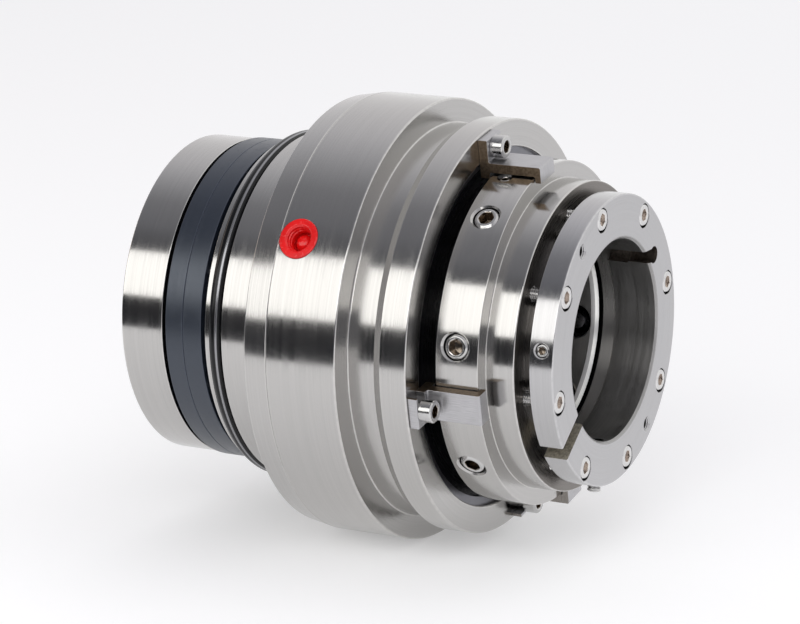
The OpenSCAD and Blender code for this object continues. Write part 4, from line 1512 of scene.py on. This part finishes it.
@dataclass
class ClampRing(Part):
    """The split ring that grips the shaft, with its clamp screws and slit screws."""

    hub: float = 111.2
    start: float = 120.8
    end: float = 132.0
    bore_r: float = 45.05
    mouth: float = 0.9
    outer_r: float = 65.0
    circle: float = 58.8
    slit: float = 127.5
    slit_width: float = 7.5
    proud: float = 3.2
    relief_r: float = 50.7
    relief_size: float = 7.8
    relief_slot: float = 6.2
    relief_lean: float = 37.0
    loose: Triple = (0.0, -0.24, -0.28)

    def notch(self, inwards: float, low: float, high: float) -> Prism:
        """The relief notch: a leaning slot from the bore that ends in a round.

        In local X (towards the shaft's top side) and Y, the round's points are its centre plus
        radius times (cos, sin), over the part that lies outside the slot's two walls.

        Args:
            inwards: how far the round is moved down the slot.
            low: where the cut ends, along the shaft.
            high: where it starts.

        Returns:
            The cutter.
        """
        lean = math.radians(self.relief_lean)
        down = np.array([-math.cos(lean), math.sin(lean)])
        side = np.array([-down[1], down[0]])
        r, w = self.relief_size / 2, self.relief_slot / 2
        half = math.asin(w / r)
        base = math.atan2(down[1], down[0])
        a = np.linspace(base + half, base + 2 * math.pi - half, 48)
        arc = r * np.stack([np.cos(a), np.sin(a)], 1)
        foot = 13.0 * down
        outline = np.concatenate([[foot - w * side], [foot + w * side], arc])
        place = Placement.axial(self.end, self.relief_r, self.slit + 180)
        return Prism(outline + inwards * down, low - self.end, high - self.end, place)

    @property
    def middle(self) -> float:
        """The middle of the ring's thick part, along the shaft."""
        return (self.start + self.end) / 2

    def body(self) -> None:
        """Turns the ring and cuts its slit, notch and holes."""
        e, s, b, r, w = self.end, self.start, self.bore_r, self.outer_r, self.slit_width / 2
        profile = Profile([
            (self.hub, b, 0.3), (self.hub, 49.2, 0.3), (s, 51.84, 0.3), (s, r, 0.5), (e, r, 0.5),
            (e, b + self.mouth, 0.2), (e - self.mouth, b, 0.2),
        ])
        low = s - e - 1
        sink = [(low, 0), (low, 3.0), (-6.2, 3.0), (-6.2, 5.48), (-0.25, 5.48), (0.5, 6.2), (0.5, 0)]
        ridges = [(-10.4 + 0.4 * i, 2.5 + 0.45 * (i % 2)) for i in range(24)]
        jack = [(low, 0), (low, 2.5)] + ridges + [(-0.8, 2.7), (0, 3.5), (0.5, 3.9), (0.5, 0)]
        side = [(42, 0), (42, 3.05), (r - 0.7, 3.05), (r + 0.2, 3.9), (r + 3, 3.9), (r + 3, 0)]
        places = [Placement.axial(e, self.circle, 15 + 45 * k).moved(self.loose) for k in range(8)]
        tools = [hole(place, sink, 72) for place in places]
        tools += [hole(Placement.axial(e, self.circle, angle), jack, 48) for angle in (37.5, 217.5)]
        tools += [hole(Placement.radial(self.middle, 0, self.slit + lean), side, 64) for lean in (-45, 45)]
        box = np.array([(5.0, -w), (r + 10, -w), (r + 10, w), (5.0, w)])
        slit = Prism(box, self.hub - 1 - e, 1.0, Placement.axial(e, 0.0, self.slit))
        notches = [self.notch(0.0, s + 0.5, e + 1), self.notch(5.0, self.hub - 1, s + 0.6)]
        mesh = cut(Turning(profile), tools, [slit] + notches)
        # Bored steel darkened as painted shade in the bore and on the face towards the collar, painted black
        # shade in the counterbores, the notch's walls darkened as painted shade, and the slit's walls in the
        # paler slit finish, painted light.
        dress_faces(mesh, 2, (0.0, 46.2))
        dress_faces(mesh, 2, (52.0, 64.4), (s - 0.05, s + 0.05))
        dress_faces(mesh, 3, (52.0, 64.4), (s + 0.1, e - 1.5))
        dress_faces(mesh, 4, (40.0, 56.0), above=0.0, old=1)
        finishes = self.looks.ring, self.looks.slit, self.looks.bored_and_shaded, self.looks.painted_black_shade, self.looks.notch
        show("ring_split", mesh, Body.ROTOR, "ring_steel", ["clamp_ring"], *finishes)

    def screws(self) -> None:
        """Sets the eight clamp screws and the two slit screws."""
        cap = Screw(
            size=6, length=21.7, head=9.8, head_height=6, key=5, key_depth=2.6, crown=0.6,
            thread=(-10.5, -17.5), steps=60,
        )
        turns = spins(8, 5)
        places = [Placement.axial(self.end - 0.05, self.circle, 15 + 45 * k, turns[k]) for k in range(8)]
        cap.fit("ring_clamp_screws", places, "clamp_screws", self.looks.ring_screw)
        grub = Screw(size=6, length=17, key=3, key_depth=3, crown=0.6, cup=True, thread=(-0.8, -14))
        places = [Placement.radial(self.middle, self.outer_r - 0.5, self.slit - 45, 12)]
        places.append(Placement.radial(self.middle, self.outer_r + self.proud, self.slit + 45, 40))
        grub.fit("ring_slit_screws", places, "slit_screws", self.looks.screw)

    def build(self) -> None:
        """Builds every piece of it."""
        self.body()
        self.screws()


@dataclass
class SettingClips(Part):
    """Four bent bars that hold the collar and the housing apart, and their screws."""

    face: float = 76.4
    bar: float = 4.4
    low_r: float = 74.5
    in_r: float = 77.4
    out_r: float = 81.8
    foot_r: float = 92.2
    hook: Pair = (102.7, 105.5)
    width: float = 14.0
    angle: float = 12.0
    screw_r: float = 87.38

    def outline(self) -> Array:
        """Draws the clip's side view.

        Returns:
            (place, radius) points, the corners rounded by a profile.
        """
        f, b, (h0, h1) = self.face, self.bar, self.hook
        rows = [
            (f, self.low_r, 0.3), (f + b, self.low_r, 0.3), (f + b, self.in_r, 0.8), (h0, self.in_r, 0.8),
            (h0, self.low_r, 0.5), (h1, self.low_r, 0.5), (h1, self.out_r, 0.9),
            (f + b, self.out_r, 0.9), (f + b, self.foot_r, 0.4), (f, self.foot_r, 0.4),
        ]
        return Profile(rows, arc=5, reach=0.0).xy

    def slot(self) -> Array:
        """Draws the foot's open slot.

        Returns:
            A half circle about the screw, and two walls out to the side.
        """
        a = np.linspace(math.pi, 2 * math.pi, 25)
        arc = 3.3 * np.stack([np.cos(a), np.sin(a)], 1)
        return np.concatenate([arc, [(3.3, 12.0), (-3.3, 12.0)]])

    def bars(self) -> None:
        """Cuts and slots each bar, and breaks its edges."""
        shape = self.outline()
        for k in range(4):
            up, across = (Placement.up(self.angle + 90 * k - turn) for turn in (0, 90))
            place = Placement.of((0, 0, 0), np.cross((1, 0, 0), up), (1, 0, 0))
            mesh = Prism(shape, -self.width / 2, self.width / 2, place).mesh("clip")
            sides = self.looks.shaded if k == 2 else self.looks.sawn
            name, node = "clip_bar_%d" % (k + 1), "setting_clip_%d" % (k + 1)
            piece = show(name, mesh, Body.HOUSING, "clip_steel", [node], self.looks.clip, sides)
            ends = np.zeros(len(mesh.polygons), np.int32)
            ends[-2:] = 1
            mesh.polygons.foreach_set("material_index", ends)
            centre = (self.face - 1, self.screw_r * up[1], self.screw_r * up[2])
            place = Placement.of(centre, (1, 0, 0), up)
            flip = np.array([1.0, np.sign(np.dot(place.directions(np.array([[0.0, 1.0, 0.0]]))[0], across))])
            slot = Prism(self.slot() * flip, 0.0, self.bar + 2, place).mesh("cutter")
            piece.data = difference(piece, [slot])
            edge = piece.modifiers.new("broken edges", "BEVEL")
            edge.width, edge.segments, edge.harden_normals = 0.22 * MM, 2, True
            edge.limit_method, edge.angle_limit = "ANGLE", math.radians(40)

    def screws(self) -> None:
        """Sets the four screws."""
        cap = Screw(size=6, length=14.4, head=9.96, head_height=6, key=5, key_depth=3, crown=0.55, steps=60)
        turns = spins(4, 8)
        top = self.face + self.bar + 6
        places = [Placement.axial(top, self.screw_r, self.angle + 90 * k, turns[k]) for k in range(4)]
        cap.fit("clip_cap_screws", places, "clip_screws", self.looks.screw, Body.HOUSING)

    def build(self) -> None:
        """Builds every piece of it."""
        self.bars()
        self.screws()


def bare(name: str) -> tuple[Material, Tree]:
    """Starts a material with an empty tree.

    Args:
        name: the material's name.

    Returns:
        The material and its tree.
    """
    material = bpy.data.materials.new(name)
    material.use_nodes = True
    material.node_tree.nodes.clear()
    return material, Tree(material.node_tree)


@dataclass
class Studio:
    """Pale floor, soft lamps, a room that is light behind the object and dark before it, and the camera."""

    floor_z: float = -0.1006
    floor_front: float = 0.47
    floor_glow: float = 0.27
    room_size: float = 3.0
    cloth_radius: float = 6000.0
    front: float = -32.0
    camera: Triple = (0.70971, -1.2923, 0.34337)
    forward: Triple = (-0.45615, 0.86023, -0.22791)
    lens: float = 148.57
    greys: tuple[Pair, ...] = (
        (0.25, 0.95), (0.36, 0.86), (0.46, 0.76), (0.53, 0.64), (0.587, 0.53), (0.65, 0.41), (0.716, 0.3),
        (0.83, 0.235), (0.88, 0.15), (0.93, 0.09), (1.0, 0.03),
    )

    def towards(self, azimuth: float, elevation: float) -> Vector:
        """The direction at an azimuth from -Y towards +X and an elevation, in degrees."""
        a, e = math.radians(azimuth), math.radians(elevation)
        return Vector((math.sin(a) * math.cos(e), -math.cos(a) * math.cos(e), math.sin(e)))

    def lamp(
        self, name: str, azimuth: float, elevation: float, distance: float, size: Pair, watts: float,
        glossy: bool = True, colour: Triple = (1.0, 1.0, 1.0), facing: Optional[Triple] = None,
    ) -> None:
        """Adds a soft rectangular lamp.

        Args:
            name: its name.
            azimuth: where it stands, in degrees.
            elevation: how high it stands, in degrees.
            distance: how far away, in metres.
            size: its width and height in metres.
            watts: its power.
            glossy: whether metal shows it.
            colour: its colour.
            facing: azimuth, elevation and roll of its back; None turns it to the object.
        """
        light = bpy.data.lights.new(name, "AREA")
        light.shape, light.size, light.size_y = "RECTANGLE", size[0], size[1]
        light.energy, light.color = watts, colour
        item = put(name, light)
        item.location = self.towards(azimuth, elevation) * distance
        azimuth, elevation, roll = facing or (azimuth, elevation, 0.0)
        turn = self.towards(azimuth, elevation).to_track_quat("Z", "Y")
        item.rotation_euler = (turn @ Quaternion((0, 0, 1), math.radians(roll))).to_euler()
        item.visible_camera, item.visible_glossy = False, glossy

    def floor(self) -> None:
        """Lays the pale floor, whose front edge lies a little before the object."""
        way = self.towards(self.front, 0)
        across = Vector((-way.y, way.x, 0)) * self.room_size
        near, far = way * self.floor_front, way * -self.room_size
        points = [near + across, near - across, far - across, far + across]
        mesh = bpy.data.meshes.new("floor")
        mesh.from_pydata([(p.x, p.y, self.floor_z) for p in points], [], [(0, 1, 2, 3)])
        floor = put("floor", mesh)
        material, tree = bare("pale floor")
        path = tree.add("ShaderNodeLightPath").outputs
        mirrored = tree.math("MAXIMUM", path["Is Glossy Ray"], path["Is Transmission Ray"])
        seen = tree.math("MAXIMUM", path["Is Camera Ray"], mirrored)
        glow = tree.math("MULTIPLY", seen, self.floor_glow)
        plain = tree.add("ShaderNodeBsdfDiffuse", {"Color": (0.8, 0.8, 0.81, 1)})
        glow = tree.add("ShaderNodeEmission", {"Color": (1, 1, 1, 1), "Strength": glow})
        both = tree.add("ShaderNodeAddShader", {0: plain.outputs[0], 1: glow.outputs[0]})
        tree.add("ShaderNodeOutputMaterial", {0: both.outputs[0]})
        mesh.materials.append(material)

    def room(self) -> None:
        """Makes the world plain white."""
        world = bpy.data.worlds.new("room")
        bpy.context.scene.world = world
        world.use_nodes = True
        world.node_tree.nodes.clear()
        tree = Tree(world.node_tree)
        plain = tree.add("ShaderNodeBackground", {0: (1, 1, 1, 1), 1: 1.0})
        tree.add("ShaderNodeOutputWorld", {0: plain.outputs[0]})

    def cloth(self) -> None:
        """Hangs a round cloth in the room that darkens from the sides to the front.

        It is part of a ball: a point is radius * (sin b cos a, sin b sin a, cos b) about the front
        direction. Its share of the way to the front is 0.5 + 0.5 cos b, and a ramp gives its grey.
        """
        way = self.towards(self.front, 0)
        b = np.radians(np.linspace(0, 120, 25))[:, None]
        a = np.radians(np.arange(0, 360, 7.5))
        ball = np.broadcast_arrays(np.sin(b) * np.cos(a), np.sin(b) * np.sin(a), np.cos(b))
        points = Placement.of((0, 0, 0), way, (0, 0, 1)).points(self.cloth_radius * np.stack(ball, -1)) * MM
        cloth = put("cloth", Skin.grid(points, False, np.zeros(26), np.zeros(25)).mesh("cloth"))
        cloth.visible_camera = False
        material, tree = bare("dark cloth")
        place = tree.add("ShaderNodeTexCoord").outputs["Object"]
        look = tree.add("ShaderNodeVectorMath", {0: place}, operation="NORMALIZE").outputs[0]
        share = tree.add("ShaderNodeVectorMath", {0: look, 1: tuple(way)}, operation="DOT_PRODUCT")
        ramp = tree.add(
            "ShaderNodeValToRGB", {0: tree.math("MULTIPLY_ADD", share.outputs["Value"], 0.5, 0.5)}
        )
        bar = ramp.color_ramp
        bar.elements[0].position, bar.elements[1].position = self.greys[0][0], self.greys[-1][0]
        for stop in self.greys[1:-1]:
            bar.elements.new(stop[0])
        for element, (stop, grey) in zip(bar.elements, self.greys):
            warm = 1.0 - stop
            element.color = (grey * (0.965 + 0.05 * warm), grey * 0.985, grey * (1.1 - 0.14 * warm), 1)
        glow = tree.add("ShaderNodeEmission", {"Color": ramp.outputs[0], "Strength": 1.0})
        tree.add("ShaderNodeOutputMaterial", {0: glow.outputs[0]})
        cloth.data.materials.append(material)

    def view(self) -> None:
        """Sets the camera at the photograph's place, with its forward direction level to the frame."""
        data = bpy.data.cameras.new("camera")
        data.lens, data.sensor_width = self.lens, 36.0
        data.clip_start, data.clip_end = 0.05, 50.0
        item = put("camera", data)
        forward = Vector(self.forward).normalized()
        right = forward.cross(Vector((0, 0, 1))).normalized()
        up = right.cross(forward)
        turn = Matrix((right, up, -forward)).transposed().to_4x4()
        item.matrix_world = Matrix.Translation(self.camera) @ turn
        bpy.context.scene.camera = item

    def build(self) -> None:
        """Sets the whole stage."""
        self.floor()
        self.room()
        self.cloth()
        self.lamp(
            "long softbox", azimuth=-28.6, elevation=20.34, distance=2.0, size=(4.0, 1.005), watts=25.4,
            colour=(1.0, 0.99, 0.965), facing=(0.0, 21.0, 7.8),
        )
        self.lamp(
            "fill", azimuth=25.0, elevation=35.0, distance=2.2, size=(1.6, 1.6), watts=12.0, glossy=False,
        )
        self.lamp(
            "warm card", azimuth=-90.0, elevation=14.0, distance=2.0, size=(1.5, 0.45), watts=2.1,
            colour=(1.0, 0.8, 0.64),
        )
        self.view()
        bpy.context.scene.view_settings.view_transform = "Standard"


def main() -> None:
    """Builds the sub-assemblies in order, then the studio."""
    logging.basicConfig(level=logging.INFO, format="%(message)s")
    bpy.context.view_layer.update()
    make_groups()
    looks = Finishes.make()
    for part in (Housing, SealFaces, Sleeve, DriveCollar, ClampRing, SettingClips):
        log.info("building %s", part.__name__)
        part(looks).build()
    Studio().build()


if __name__ == "__main__":
    main()
